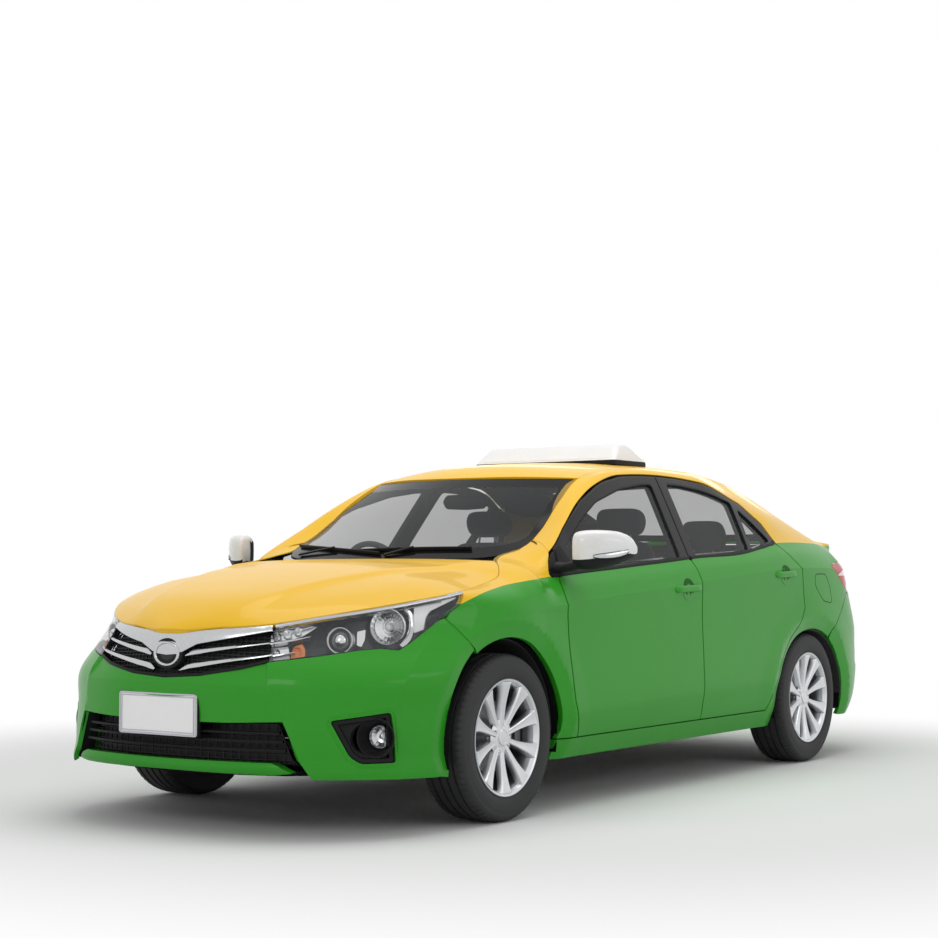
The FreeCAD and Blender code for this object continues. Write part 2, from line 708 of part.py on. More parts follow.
roof = Part.makeLoft([arc_section(*row, 30) for row in ROOF_STATIONS], True, True)
for x_middle, x_side, x_end in ((400, 318, 600), (-1190, -1130, -1400)):
    corners = [vec(x_side, 545, 1200), vec(x_end, 545, 1200), vec(x_end, -545, 1200), vec(x_side, -545, 1200)]
    outline = [bow(x_middle, x_side, 545, 1200, 1200)]
    outline += [Part.makeLine(start, end) for start, end in zip(corners, corners[1:])]
    roof = roof.cut(Part.Face(Part.Wire(outline)).extrude(vec(0, 0, 400)))
add_feature("roof_panel", biggest(roof))
add_feature("windscreen", curved_pane((1098, 880, 588, 990, 1034), (413, 331, 530, 1390, 1330), 9))
add_feature("rear_window", curved_pane((-1912, -1862, 562, 1106, 1118), (-1203, -1143, 528, 1392, 1349), 9))

# ---------------------------------------------------------------- tail
lamp_outline = [(x - 4, z) for x, z in TAIL_LAMP_OUTLINE[:3]] + [(-2400, 970), (-2400, 774), (-2064, 782)]
tail_lamp = quarter_solid(QUARTER_X).common(side_prism(lamp_outline, 200, OUTSIDE))
tail_lamp = biggest(tail_lamp.cut(lid_room()))
add_feature("tail_lamps", Part.makeCompound([tail_lamp, mirrored(tail_lamp)]))


def make_rear_bumper():
    solid = shell(TAIL_PLAN, TAIL_START, (205, 300, 467, 636), 60)
    solid = solid.cut(block(-1738, -1200, -OUTSIDE, OUTSIDE, 100, 700))
    return biggest(solid.cut(rear_arch).cut(mirrored(rear_arch)))


add_feature("rear_bumper", make_rear_bumper())
lid_top = Part.makeLoft([arc_section(*row, SIZE["panel_thick"]) for row in LID_STATIONS], True, True)
plate_plinth = block(-2282, -2230, -185, 185, 676, 856)
lid_back = shell(TAIL_PLAN, TAIL_START, (645, 836, 950, 1021, 1080), 40)
lid_back = lid_back.common(block(-2320, -2150, -LID_HALF, LID_HALF, 600, 1200))
lid_back = biggest(lid_back)
add_feature("boot_lid", biggest(fused([lid_top, lid_back, plate_plinth])))
plate_half = SIZE["plate_wide"] / 2
add_feature("rear_plate", block(-2290, -2282, -plate_half, plate_half, 690, 690 + SIZE["plate_high"]))

# ---------------------------------------------------------------- floor, bulkhead and wheel housings
def make_floor():
    """Floor, tunnel, bulkhead, rear seat pan, boot floor and the four wheel housings."""
    low = SIZE["floor_low"]
    thick = SIZE["floor_thick"]
    axle_z = SIZE["tyre_radius"]
    pieces = [
        block(-700, 860, -INNER, INNER, low, low + thick),
        block(860, 964, -712, 712, low, low + thick),
        block(-700, 1040, -130, 130, low, low + 110),
        block(940, 1060, -455, 455, low, low + thick),
        block(1040, 1062, -455, 455, low, 900),
        block(-705, -680, -INNER, INNER, low, 420),
        block(-940, -680, -INNER, INNER, 400, 420),
        block(-2150, -925, -600, 600, 400, 420),
        block(-1330, -1310, -635, 635, 420, 960),
        block(-2168, -2150, -560, 560, 400, 640),
    ]
    for side in (1, -1):
        inner = sorted((side * 455, side * 475))
        outer = sorted((side * 455, side * 712))
        pieces.append(block(960, 1790, inner[0], inner[1], 260, 700))
        pieces.append(block(1790, 1985, inner[0], inner[1], 260, 606))
        pieces.append(block(944, 964, outer[0], outer[1], low, 880))
        pieces.append(block(1230, 1470, *sorted((side * 455, side * 640)), 696, 716))
        pieces.append(block(1735, 1985, *sorted((side * 475, side * 560)), 400, 470))
        pieces.append(block(-1770, -925, *sorted((side * 600, side * 645)), 400, 420))
    return pieces


def housing(axle_x, half_long, half_high, low_y, high_y):
    """Liner arch over a wheel, just inside the wheel opening of the body."""
    outside = arch_cut(axle_x, half_long, half_high, low_y, high_y)
    inside = arch_cut(axle_x, half_long - 8, half_high - 8, low_y - 10, high_y + 10)
    return outside.cut(inside).common(block(axle_x - 500, axle_x + 500, low_y, high_y, 316, 800))


floor_pieces = make_floor()
front_liner = housing(FRONT_AXLE, SIZE["front_arch"], SIZE["front_arch"], 470, 815)
rear_liner = housing(REAR_AXLE - 16, SIZE["rear_arch_long"], SIZE["rear_arch_high"], 640, 850)
rear_wall = arch_cut(REAR_AXLE - 16, SIZE["rear_arch_long"], SIZE["rear_arch_high"], 635, 645)
rear_wall = rear_wall.common(block(-1800, -900, 635, 645, 370, 700))
for arch in (front_liner, rear_liner, rear_wall):
    floor_pieces += [arch, mirrored(arch)]
floor = fused(floor_pieces)
add_feature("floor_pan", biggest(floor))

# ---------------------------------------------------------------- scuttle, mirrors, roof sign
def make_scuttle():
    """Tray behind the bonnet, and its cover that runs back under the windscreen's foot."""
    tray = []
    cover = []
    for y in (-700, -560, -300, 0, 300, 560, 700):
        share = (y / 590) ** 2
        drop = 18 * share
        tray.append([(1044, y, 902), (1096, y, 902), (1096, y, 952 - drop), (1044, y, 968 - drop)])
        if abs(y) < 600:
            rear = 1078 - 205 * share
            cover.append([(rear, y, 958 + 40 * share), (1096, y, 936 - drop), (1096, y, 952 - drop),
                          (rear, y, 974 + 40 * share)])
    return fused([loft(tray), loft(cover)]).cut(hood_cutter)


add_feature("scuttle", biggest(make_scuttle()))


def make_mirror():
    """Left door mirror: arm from the window's front corner and a swept housing."""
    sections = []
    for y, front, back, low, high in (
        (868, 912, 830, 985, 1088),
        (905, 915, 800, 974, 1102),
        (965, 880, 758, 972, 1106),
        (1020, 822, 716, 984, 1090),
        (1052, 762, 692, 1006, 1052),
    ):
        middle = (low + high) / 2
        sections.append([(front, y, middle), (front - 22, y, high - 16), (back + 14, y, high),
                         (back, y, high - 12), (back, y, low + 12), (back + 14, y, low),
                         (front - 26, y, low + 4)])
    housing = loft(sections)
    arm = loft([[(942, 815, 946), (942, 815, 968), (852, 825, 978), (852, 825, 956)],
                [(900, 892, 962), (900, 892, 990), (826, 892, 994), (826, 892, 964)]])
    return biggest(fused([housing, arm]))


mirror = make_mirror()
add_feature("mirror_left", mirror)
add_feature("mirror_right", mirrored(mirror))
sign = loft([
    [(-250, -394, 1437), (-250, 394, 1437), (-556, 394, 1437), (-556, -394, 1437)],
    [(-250, -394, 1462), (-250, 394, 1462), (-556, 394, 1462), (-556, -394, 1462)],
    [(-330, -364, 1536), (-330, 364, 1536), (-440, 364, 1541), (-440, -364, 1541)],
])
add_feature("roof_sign", biggest(sign.cut(roof)))

# ---------------------------------------------------------------- cabin
def seat_solid(middle_y, half, floor_z, front_x, hip_x, top_z, head):
    """Seat as a cushion, a reclined back and, for single seats, a head restraint."""
    lean = 0.27
    cushion = loft([
        [(hip_x, middle_y - half, floor_z), (hip_x, middle_y + half, floor_z),
         (hip_x - 20, middle_y + half, 455), (hip_x - 20, middle_y - half, 455)],
        [(front_x - 40, middle_y - half, floor_z), (front_x - 40, middle_y + half, floor_z),
         (front_x - 20, middle_y + half, 490), (front_x - 20, middle_y - half, 490)],
        [(front_x, middle_y - half + 30, floor_z + 40), (front_x, middle_y + half - 30, floor_z + 40),
         (front_x + 10, middle_y + half - 30, 462), (front_x + 10, middle_y - half + 30, 462)],
    ])
    rows = []
    back_rows = ((floor_z + 2, 110, half), (560, 130, half), (900, 110, half - 10), (top_z, 70, half - 60))
    for z, depth, width in back_rows:
        back = hip_x - (z - 300) * lean
        rows.append([(back + depth / 2, middle_y - width, z), (back + depth / 2, middle_y + width, z),
                     (back - depth / 2, middle_y + width, z), (back - depth / 2, middle_y - width, z)])
    pieces = [cushion, loft(rows)]
    if head:
        back = hip_x - (top_z - 300) * lean
        for side in (-1, 1):
            pieces.append(tube_line((back, middle_y + side * 60, top_z - 40),
                                    (back - 14, middle_y + side * 60, top_z + 60), 7))
        rest = []
        for z, depth, width in ((top_z + 18, 80, 110), (top_z + 70, 104, 132), (top_z + 150, 84, 112)):
            front = back - (z - top_z) * lean + 4
            rest.append([(front + depth / 2, middle_y - width, z), (front + depth / 2, middle_y + width, z),
                         (front - depth / 2, middle_y + width, z), (front - depth / 2, middle_y - width, z)])
        pieces.append(loft(rest))
    return biggest(fused(pieces))


front_seats = [seat_solid(side * 372, 238, 246, 380, -115, 1085, True) for side in (1, -1)]
add_feature("front_seats", Part.makeCompound(front_seats))
add_feature("rear_seat", seat_solid(0, 610, 421, -640, -1060, 1030, False))


def make_dashboard():
    """Dashboard moulding with its instrument hood, and the console on the tunnel."""
    face = [(1035, 640), (1035, 905), (900, 960), (760, 930), (700, 860), (690, 760), (770, 640), (880, 600)]
    board = side_prism(face, -618, 618)
    hood_face = [(760, 905), (745, 985), (640, 990), (650, 900), (720, 850)]
    cowl = side_prism(hood_face, -530, -210)
    console = block(150, 900, -115, 115, 325, 520).fuse(block(640, 900, -115, 115, 500, 700))
    for side in (1, -1):
        board = board.cut(block(938, 1100, *sorted((side * 450, side * 800)), 500, 890))
    return biggest(fused([board, cowl, console]))


add_feature("dashboard", make_dashboard())

# Steering wheel, on the right: rim, hub and three spokes, tilted like its column.
STEER_X, STEER_Y, STEER_Z, STEER_TILT = 560, -370, 905, 68
wheel_rim = Part.makeTorus(SIZE["steering_radius"], 15, vec(0, 0, 0), vec(0, 0, 1))
wheel_hub = Part.makeCylinder(62, 46, vec(0, 0, -34))
wheel_parts = [wheel_rim, wheel_hub]
for angle in (180, 0, 270):
    arm = Part.makeBox(SIZE["steering_radius"] - 50, 34, 12, vec(45, -17, -14))
    arm.rotate(vec(0, 0, 0), vec(0, 0, 1), angle)
    wheel_parts.append(arm)
steering = biggest(fused(wheel_parts))
steering.rotate(vec(0, 0, 0), vec(0, 0, 1), -90)
steering.rotate(vec(0, 0, 0), vec(0, 1, 0), -STEER_TILT)
steering.translate(vec(STEER_X, STEER_Y, STEER_Z))
add_feature("steering_wheel", steering)

# ---------------------------------------------------------------- running gear
engine_size = {"Length": "engine_long", "Width": "engine_wide", "Height": "engine_high"}
engine_place = ("wheelbase / 2 + 150", "0 - engine_wide / 2", "tyre_radius + 24")
engine = primitive("Box", "engine_block", engine_size, engine_place)
engine.Label = "engine_block"
PARTS.append(engine)


def make_subframe():
    """Front cross-member, lower arms and the strut towers' braces, under the engine."""
    pieces = [block(1230, 1330, -470, 470, 185, 245), block(1700, 1780, -560, 560, 205, 259)]
    for side in (1, -1):
        pieces.append(block(1300, 1720, *sorted((side * 380, side * 450)), 195, 245))
        ends = []
        for y, rear, front, high in ((side * 440, 1250, 1450, 222), (side * 650, 1325, 1375, 216)):
            ends.append([(rear, y, 192), (front, y, 192), (front, y, high), (rear, y, high)])
        pieces.append(loft(ends))
        pieces.append(block(1740, 1780, *sorted((side * 480, side * 560)), 250, 399))
        pieces.append(block(1240, 1300, *sorted((side * 455, side * 400)), 240, 300))
    return biggest(fused(pieces))


add_feature("front_subframe", make_subframe())
KNUCKLES = [
    # name, turn of the spindle, and the y of its spindle, upright, strut, carrier and caliper
    ("knuckle_left", -90, "track / 2 - 75", "610", "625", "700", "700"),
    ("knuckle_right", 90, "0 - track / 2 + 75", "0 - 722", "0 - 625", "0 - 722", "0 - 790"),
]
for name, turn, spindle_y, upright_y, strut_y, carrier_y, caliper_y in KNUCKLES:
    spindle = primitive("Cylinder", name + "_spindle", {"Radius": "stub_radius", "Height": "90"},
                        ("wheelbase / 2", spindle_y, "tyre_radius"), ((1, 0, 0), turn))
    upright = primitive("Box", name + "_upright", {"Length": "84", "Width": "112", "Height": "190"},
                        ("wheelbase / 2 - 42", upright_y, "tyre_radius - 90"))
    strut = primitive("Cylinder", name + "_strut", {"Radius": "28", "Height": "280"},
                      ("wheelbase / 2", strut_y, "tyre_radius + 60"))
    carrier = primitive("Box", name + "_carrier", {"Length": "190", "Width": "22", "Height": "60"},
                        ("wheelbase / 2 - 185", carrier_y, "tyre_radius - 30"))
    caliper = primitive("Box", name + "_caliper", {"Length": "38", "Width": "90", "Height": "80"},
                        ("wheelbase / 2 - 186", caliper_y, "tyre_radius - 40"))
    join(name, [upright, spindle, strut, carrier, caliper])


def make_rear_axle():
    """Twist beam: cross tube, trailing arms, spindles and the dampers up to the floor."""
    pieces = [tube_line((-1120, -600, 300), (-1120, 600, 300), 42)]
    for side in (1, -1):
        y = side * 585
        ends = []
        for x, low, high in ((-935, 262, 322), (-1385, 278, 350)):
            ends.append([(x, y - 25, low), (x, y + 25, low), (x, y + 25, high), (x, y - 25, high)])
        pieces.append(loft(ends))
        spindle = tube_line((REAR_AXLE, side * 585, 316), (REAR_AXLE, side * 722, 316), 34)
        pieces.append(spindle)
        pieces.append(tube_line((REAR_AXLE, side * 700, 316), (REAR_AXLE, side * 775, 316),
                                SIZE["stub_radius"]))
        pieces.append(tube_line((-1370, side * 585, 330), (-1352, side * 575, 388), 26))
    return biggest(fused(pieces))


add_feature("rear_axle", make_rear_axle())
pipe_turn = [(1496, 150, 350), (1190, 150, 285), (1095, 150, 172), (-900, 150, 172), (-1650, 60, 215)]
pipes = [tube_line(start, end, 24) for start, end in zip(pipe_turn, pipe_turn[1:])]
pipes += [Part.makeSphere(24, vec(*point)) for point in pipe_turn[1:-1]]
pipes.append(block(-2080, -1640, -360, 120, 220, 385))
pipes += [tube_line((-2060, -330, 210), (-2240, -420, 158), 20)]
add_feature("exhaust", biggest(fused(pipes)))

# Tyre and wheel profiles as (radius, distance outwards from the wheel's middle).
TYRE_PROFILE = [
    ("rim_radius - 20", "0 - tyre_width / 2 + 19"), ("rim_radius - 2", "0 - tyre_width / 2 + 11"),
    ("rim_radius + 22", "0 - tyre_width / 2 + 2"), ("rim_radius + 46", "0 - tyre_width / 2"),
    ("tyre_radius - 14", "0 - tyre_width / 2 + 6"), ("tyre_radius", "0 - tyre_width / 2 + 22"),
    ("tyre_radius", "tyre_width / 2 - 22"), ("tyre_radius - 14", "tyre_width / 2 - 6"),
    ("rim_radius + 46", "tyre_width / 2"), ("rim_radius + 22", "tyre_width / 2 - 2"),
    ("rim_radius - 2", "tyre_width / 2 - 11"), ("rim_radius - 20", "tyre_width / 2 - 19"),
]
BARREL_PROFILE = [
    ("rim_well", "0 - tyre_width / 2 + 8"), ("rim_radius - 2", "0 - tyre_width / 2 + 6"),
    ("rim_radius - 2", "0 - tyre_width / 2 + 10.5"), ("rim_radius - 20.5", "0 - tyre_width / 2 + 18.5"),
    ("rim_radius - 20.5", "tyre_width / 2 - 18.5"), ("rim_radius - 2", "tyre_width / 2 - 10.5"),
    ("rim_radius - 2", "tyre_width / 2 - 6"), ("rim_radius - 10", "tyre_width / 2 - 5"),
    ("rim_well", "tyre_width / 2 - 16"),
]
HUB_PROFILE = [
    ("stub_radius + running_gap", "0 - 30"), ("hub_radius", "0 - 30"), ("hub_radius", "0 - 8"),
    ("disc_radius", "0 - 8"), ("disc_radius", "14"), ("hub_radius + 10", "14"), ("hub_radius + 10", "56"),
    ("hub_radius - 8", "74"), (None, "78"), (None, "18"), ("stub_radius + running_gap", "18"),
]
SPOKE_PROFILE = [
    ("0 - 16", "hub_radius - 20"), ("16", "hub_radius - 20"), ("13", "rim_well / 2 + 30"),
    ("23", "rim_well + 4"), ("0 - 23", "rim_well + 4"), ("0 - 13", "rim_well / 2 + 30"),
]
WHEELS = [
    # name, axle, side
    ("front_left", "wheelbase / 2", 1),
    ("front_right", "wheelbase / 2", -1),
    ("rear_left", "0 - wheelbase / 2", 1),
    ("rear_right", "0 - wheelbase / 2", -1),
]
for name, axle_text, side in WHEELS:
    tyre = doc.addObject("PartDesign::Body", "tyre_" + name)
    tyre.Label = "tyre_" + name
    revolve(tyre, "tyre_turn_" + name, profile_sketch(tyre, "tyre_profile_" + name, "XY_Plane", TYRE_PROFILE))
    place_wheel(tyre, axle_text, side)

    wheel = doc.addObject("PartDesign::Body", "wheel_" + name)
    wheel.Label = "wheel_" + name
    barrel = profile_sketch(wheel, "barrel_profile_" + name, "XY_Plane", BARREL_PROFILE)
    revolve(wheel, "barrel_turn_" + name, barrel)
    spoke_sketch = profile_sketch(wheel, "spoke_profile_" + name, "XZ_Plane", SPOKE_PROFILE)
    spoke_sketch.AttachmentOffset = FreeCAD.Placement(vec(0, 0, -84), FreeCAD.Rotation())
    spoke = wheel.newObject("PartDesign::Pad", "spoke_" + name)
    spoke.Profile = spoke_sketch
    spoke.Length = 34
    doc.recompute()
    pattern = wheel.newObject("PartDesign::PolarPattern", "spokes_" + name)
    pattern.Originals = [spoke]
    pattern.Axis = (origin_item(wheel, "Y_Axis"), [""])
    pattern.Angle = 360
    pattern.Occurrences = int(SIZE["spoke_count"])
    pattern.setExpression("Occurrences", "Sheet.spoke_count")
    wheel.Tip = pattern
    doc.recompute()
    revolve(wheel, "hub_turn_" + name, profile_sketch(wheel, "hub_profile_" + name, "XY_Plane", HUB_PROFILE))
    place_wheel(wheel, axle_text, side)

# ---------------------------------------------------------------- check and write
doc.recompute()
for item in doc.Objects:
    if "Invalid" in item.State or "Error" in item.State:
        raise RuntimeError("failed object: " + item.Name)
for part in PARTS:
    shape = part.Shape
    if shape.isNull() or not shape.isValid():
        raise RuntimeError("bad shape: " + part.Label)
    box = shape.BoundBox
    print("%-18s solids %d  %.1f litres  x %.0f..%.0f  y %.0f..%.0f  z %.0f..%.0f" % (
        part.Label, len(shape.Solids), shape.Volume / 1e6,
        box.XMin, box.XMax, box.YMin, box.YMax, box.ZMin, box.ZMax))
    shape.exportStep("parts/%s.step" % part.Label)
print("parts", len(PARTS))
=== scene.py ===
# %% [markdown]
# # Dressing a four-door taxi
# The solids of this car are ruled through a few sections, so they are right in size and plain to
# look at. Here each painted panel, lamp, wheel and seat is made again as a fine mesh on smooth
# curves through the same named places. Every piece then rides on the body that carries it, so doors
# still swing and wheels still turn.

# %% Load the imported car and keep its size
import math

import bmesh
import bpy
import numpy as np
from mathutils import Matrix, Vector
from mathutils.geometry import delaunay_2d_cdt


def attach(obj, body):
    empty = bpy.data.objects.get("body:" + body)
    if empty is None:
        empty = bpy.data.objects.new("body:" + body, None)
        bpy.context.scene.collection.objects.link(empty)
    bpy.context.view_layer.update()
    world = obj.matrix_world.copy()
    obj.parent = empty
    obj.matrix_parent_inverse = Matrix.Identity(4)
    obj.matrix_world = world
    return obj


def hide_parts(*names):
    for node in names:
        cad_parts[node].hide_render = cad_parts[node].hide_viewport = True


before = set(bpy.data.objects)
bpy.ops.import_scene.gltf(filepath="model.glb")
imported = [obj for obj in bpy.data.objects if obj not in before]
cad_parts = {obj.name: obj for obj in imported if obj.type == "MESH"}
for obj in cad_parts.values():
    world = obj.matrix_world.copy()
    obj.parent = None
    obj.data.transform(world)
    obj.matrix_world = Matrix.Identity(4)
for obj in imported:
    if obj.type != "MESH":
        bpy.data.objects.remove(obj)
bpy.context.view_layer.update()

# %% [markdown]
# ## Smooth curves through short tables
# A car's lines are drawn through a few measured places with a bent batten. A cubic that never
# overshoots does the same here: it passes through each place and stays between its neighbours, so
# a flat panel stays flat. All tables are in millimetres, and meshes are scaled to metres at the end.

# %% Read smooth curves from tables
MM = 0.001
FORWARD, OUTWARD, UPWARD = (1, 0, 0), (0, 1, 0), (0, 0, 1)
BACKWARD, INWARD, DOWNWARD = (-1, 0, 0), (0, -1, 0), (0, 0, -1)


def batten_slopes(keys, values):
    """Slopes at each place of curves that never overshoot, along the first axis."""
    step = np.diff(keys, axis=0)
    chord = np.diff(values, axis=0) / step
    slope = np.concatenate([chord[:1], (chord[:-1] + chord[1:]) / 2, chord[-1:]])
    same = chord[:-1] * chord[1:] > 0
    low = 2 * np.minimum(abs(chord[:-1]), abs(chord[1:]))
    middle = np.where(same, np.sign(chord[:-1]) * np.minimum(abs(slope[1:-1]), low), 0)
    slope[1:-1] = middle
    return slope


def hermite(low, high, slope_low, slope_high, width, share):
    """Cubic between two values with given slopes, at a share of the way."""
    near, far = share - 1, share * share
    return (low * (1 + 2 * share) * near * near + high * far * (3 - 2 * share)
            + width * (slope_low * share * near * near + slope_high * far * near))


def read_table(rows, at):
    """Columns of a table, smooth in its first column, read at many places."""
    table = np.array(sorted(rows), float)
    keys, values = table[:, 0], table[:, 1:]
    slope = batten_slopes(keys[:, None], values)
    at = np.clip(np.asarray(at, float), keys[0], keys[-1])
    cell = np.clip(np.searchsorted(keys, at) - 1, 0, len(keys) - 2)
    width = (keys[cell + 1] - keys[cell])[..., None]
    share = (at - keys[cell])[..., None] / width
    return hermite(values[cell], values[cell + 1], slope[cell], slope[cell + 1], width, share)


def soft_step(low, high, at):
    """From 0 at low to 1 at high, starting and ending gently."""
    share = np.clip((at - low) / (high - low), 0, 1)
    return share * share * (3 - 2 * share)


print("a batten through 0, 1, 1, 3 reads", read_table([(0, 0), (1, 1), (2, 1), (3, 3)], [0.5, 1.5]).ravel())

# %% [markdown]
# ## The nose and the tail seen from above
# Seen from above, each end of the car is a squared-off curve. It starts over an axle and has its
# own reach, squareness and half-width at each height. A point on it is found by its direction from the
# start, because then places are evenly spread round the corner.

# %% Forms of the nose and the tail
NOSE_START, TAIL_START = 1250, -1350
NOSE_PLAN = [
    # z, reach, exponent along, exponent across, half-width
    (190, 2262, 2.6, 3.05, 868),
    (230, 2298, 2.6, 3.05, 872),
    (275, 2306, 2.6, 3.05, 877),
    (420, 2300, 2.6, 3.05, 882),
    (530, 2305, 2.55, 2.75, 885),
    (617, 2296, 2.35, 2.35, 886),
    (750, 2284, 2.0, 1.75, 885),
    (800, 2275, 1.95, 1.7, 884),
    (900, 2240, 1.8, 1.4, 860),
]
TAIL_PLAN = [
    # z, reach, exponent along, exponent across, half-width
    (190, -2236, 3.4, 3.4, 866),
    (300, -2292, 3.8, 3.8, 874),
    (467, -2308, 4.0, 4.0, 880),
    (640, -2304, 3.8, 3.8, 885),
    (836, -2270, 3.3, 3.3, 884),
    (950, -2258, 3.1, 3.1, 868),
    (1021, -2251, 3.2, 3.2, 795),
    (1090, -2244, 4.0, 4.0, 735),
]
NOSE, TAIL = (NOSE_PLAN, NOSE_START), (TAIL_PLAN, TAIL_START)
GIRTH = 900


def end_half_width(end, x, z):
    """Half-width of the nose or the tail at a place along the car."""
    plan, start = end
    reach, along, across, width = np.moveaxis(read_table(plan, z), -1, 0)
    share = np.clip((x - start) / (reach - start), 0, 1)
    return width * np.clip(1 - share ** along, 0, 1) ** (1 / across)


def end_point(end, girth, z):
    """Point of the nose or the tail; girth is the way round from the middle line."""
    plan, start = end
    reach, along, across, width = np.moveaxis(read_table(plan, z), -1, 0)
    turn = girth / GIRTH
    ahead, beside = np.clip(np.cos(turn), 1e-6, 1), np.abs(np.sin(turn))
    size = np.ones_like(turn)
    for _ in range(12):
        miss = (size * ahead) ** along + (size * beside) ** across - 1
        size = size - miss / (along * (size * ahead) ** along / size + across * (size * beside) ** across / size)
    return np.stack([start + (reach - start) * size * ahead, width * size * beside * np.sign(turn), z], -1)


def girth_of(end, x, y, z):
    """Way round the nose or the tail of a place in space."""
    plan, start = end
    reach, _, _, width = read_table(plan, z)
    return GIRTH * math.atan2(y / width, max(0.0, (x - start) / (reach - start)))


def nose_place(x, y, z):
    return (girth_of(NOSE, x, y, z), z)


print("nose at the middle", end_point(NOSE, np.array([0.0]), np.array([420.0])).round(0))

# %% [markdown]
# ## The side of the body
# The side is a row of cross-sections from the wing to the tail. Each runs from under the sill over
# a low ridge, up to a crease under the handles, over the shoulder to the belt, and on to the edge of the
# roof. The crease and the belt are sharp on the doors and fade out on the wing and the rear quarter, so
# each cross-section has its own sharpness there.

# %% Cross-sections of the side
SIDE = [
    # x, crease y, z, shoulder y, z, belt y, z, rail y, z, top y, z, sharpness of the crease and the belt
    (1010, 884, 807, 849, 870, 797, 915, 758, 955, 608, 1006, 0.6, 0.3),
    (870, 885, 817, 856, 878, 811, 928, 751, 1028, 600, 1034, 1, 1),
    (700, 885, 830, 859, 891, 819, 941, 706, 1125, 588, 1112, 1, 1),
    (515, 886, 844, 862, 904, 826, 953, 660, 1229, 570, 1242, 1, 1),
    (318, 886, 857, 865, 917, 832, 967, 627, 1309, 545, 1345, 1, 1),
    (74, 886, 873, 867, 933, 837, 983, 609, 1363, 545, 1388, 1, 1),
    (-230, 886, 896, 869, 955, 841, 1004, 618, 1374, 545, 1410, 1, 1),
    (-625, 886, 924, 869, 977, 842, 1021, 641, 1356, 545, 1412, 1, 1),
    (-925, 885, 944, 861, 1004, 824, 1055, 700, 1261, 545, 1388, 1, 0.8),
    (-1130, 884, 953, 851, 1021, 806, 1079, 722, 1215, 545, 1356, 1, 0.4),
    (-1456, 876, 955, 833, 1024, 776, 1084, 668, 1190, 558, 1268, 0.9, 0.2),
    (-1691, 858, 950, 808, 1022, 742, 1084, 655, 1143, 570, 1191, 0.8, 0.1),
    (-1880, 830, 944, 770, 1021, 700, 1077, 640, 1102, 588, 1121, 0.6, 0),
]
LOW_SIDE = [
    # z, y, rise towards the back
    (190, 814, 0), (284, 859, 0), (328, 874, 40), (385, 884, 60), (500, 881, 50), (640, 877, 30), (760, 879, 20),
]
HOOD = [
    # x, half-width, edge z, middle z
    (1104, 640, 982, 993), (1180, 700, 952, 988), (1240, 733, 920, 983), (1400, 744, 886, 979),
    (1585, 783, 866, 958), (1788, 706, 833, 925), (1950, 602, 803, 892), (2125, 424, 763, 842),
    (2225, 254, 745, 788), (2284, 80, 732, 746), (2296, 50, 730, 733),
]
LID = [
    # x, half-width, edge z, middle z
    (-1925, 574, 1090, 1108), (-2080, 524, 1088, 1112), (-2215, 512, 1088, 1114), (-2262, 440, 1094, 1116),
]
SHOULDER_Z = 806


def low_half_widths(x):
    """Six places of the lower side at one station, as (y, z)."""
    back = soft_step(900, -900, x)
    ends = [(NOSE, soft_step(1080, 1250, x)), (TAIL, soft_step(-1150, -1400, x))]
    places = []
    for z, y, rise in LOW_SIDE:
        z = z + rise * back * (1 - ends[1][1])
        for end, share in ends:
            y = y + share * (float(end_half_width(end, x, z)) - y)
        places.append((float(y), float(z)))
    return places


def side_stations():
    """One row for each station: x, then y and z of twelve places, then the two sharpnesses."""
    rows = []
    for x, *places, crease_sharp, belt_sharp in SIDE:
        pairs = low_half_widths(x) + list(zip(places[0::2], places[1::2]))
        rows.append([x] + [v for pair in pairs for v in pair] + [crease_sharp, belt_sharp])
    for x in (1104, 1180, 1240, 1320, 1400, 1500, 1585, 1700, 1790):
        half, edge_z, _ = read_table(HOOD, x)
        width = float(end_half_width(NOSE, x, SHOULDER_Z))
        half = min(half + 3, width)
        pairs = low_half_widths(x) + [(width, SHOULDER_Z)]
        for angle in (22.5, 45, 67.5, 90):
            turn = math.radians(angle)
            pairs.append((half + (width - half) * math.cos(turn),
                          SHOULDER_Z + (edge_z - SHOULDER_Z) * math.sin(turn)))
        rows.append([x] + [v for pair in pairs for v in pair] + [0, 0])
    for x in (-1960, -2040, -2110, -2165, -2190, -2210, -2225, -2238):
        pairs = low_half_widths(x)
        for z in (944, 1021, 1062):
            pairs.append((float(end_half_width(TAIL, x, z)), z))
        half = float(read_table(LID, x)[0]) + 6
        deck = max(half + 8, float(end_half_width(TAIL, x, 1088)) - 12)
        pairs += [(deck, 1086), (half, 1090)]
        rows.append([x] + [v for pair in pairs for v in pair] + [0.5, 0])
    return rows


SIDE_ROWS = side_stations()
CREASE, BELT, RAIL, TOP = 7, 9, 10, 11


def side_section(x, place):
    """Point (x, y, z) of the left side; place counts the named places of the cross-section from below."""
    read = read_table(SIDE_ROWS, x)
    spots = np.stack([read[..., 0:24:2], read[..., 1:24:2]], -1)
    chord = np.diff(spots, axis=-2)
    slope = np.concatenate([chord[..., :1, :], (chord[..., :-1, :] + chord[..., 1:, :]) / 2, chord[..., -1:, :]], -2)
    start, end = slope.copy(), slope.copy()
    for corner, sharp in ((CREASE, read[..., 24, None]), (BELT, read[..., 25, None]),
                          (RAIL, 0.5 * read[..., 25, None])):
        start[..., corner, :] += sharp * (chord[..., corner, :] - start[..., corner, :])
        end[..., corner, :] += sharp * (chord[..., corner - 1, :] - end[..., corner, :])
    cell = np.clip(place.astype(int), 0, TOP - 1)
    pick = np.arange(len(cell))
    share = (place - cell)[:, None]
    point = hermite(spots[pick, cell], spots[pick, cell + 1], start[pick, cell], end[pick, cell + 1], 1, share)
    return np.column_stack([x, point])


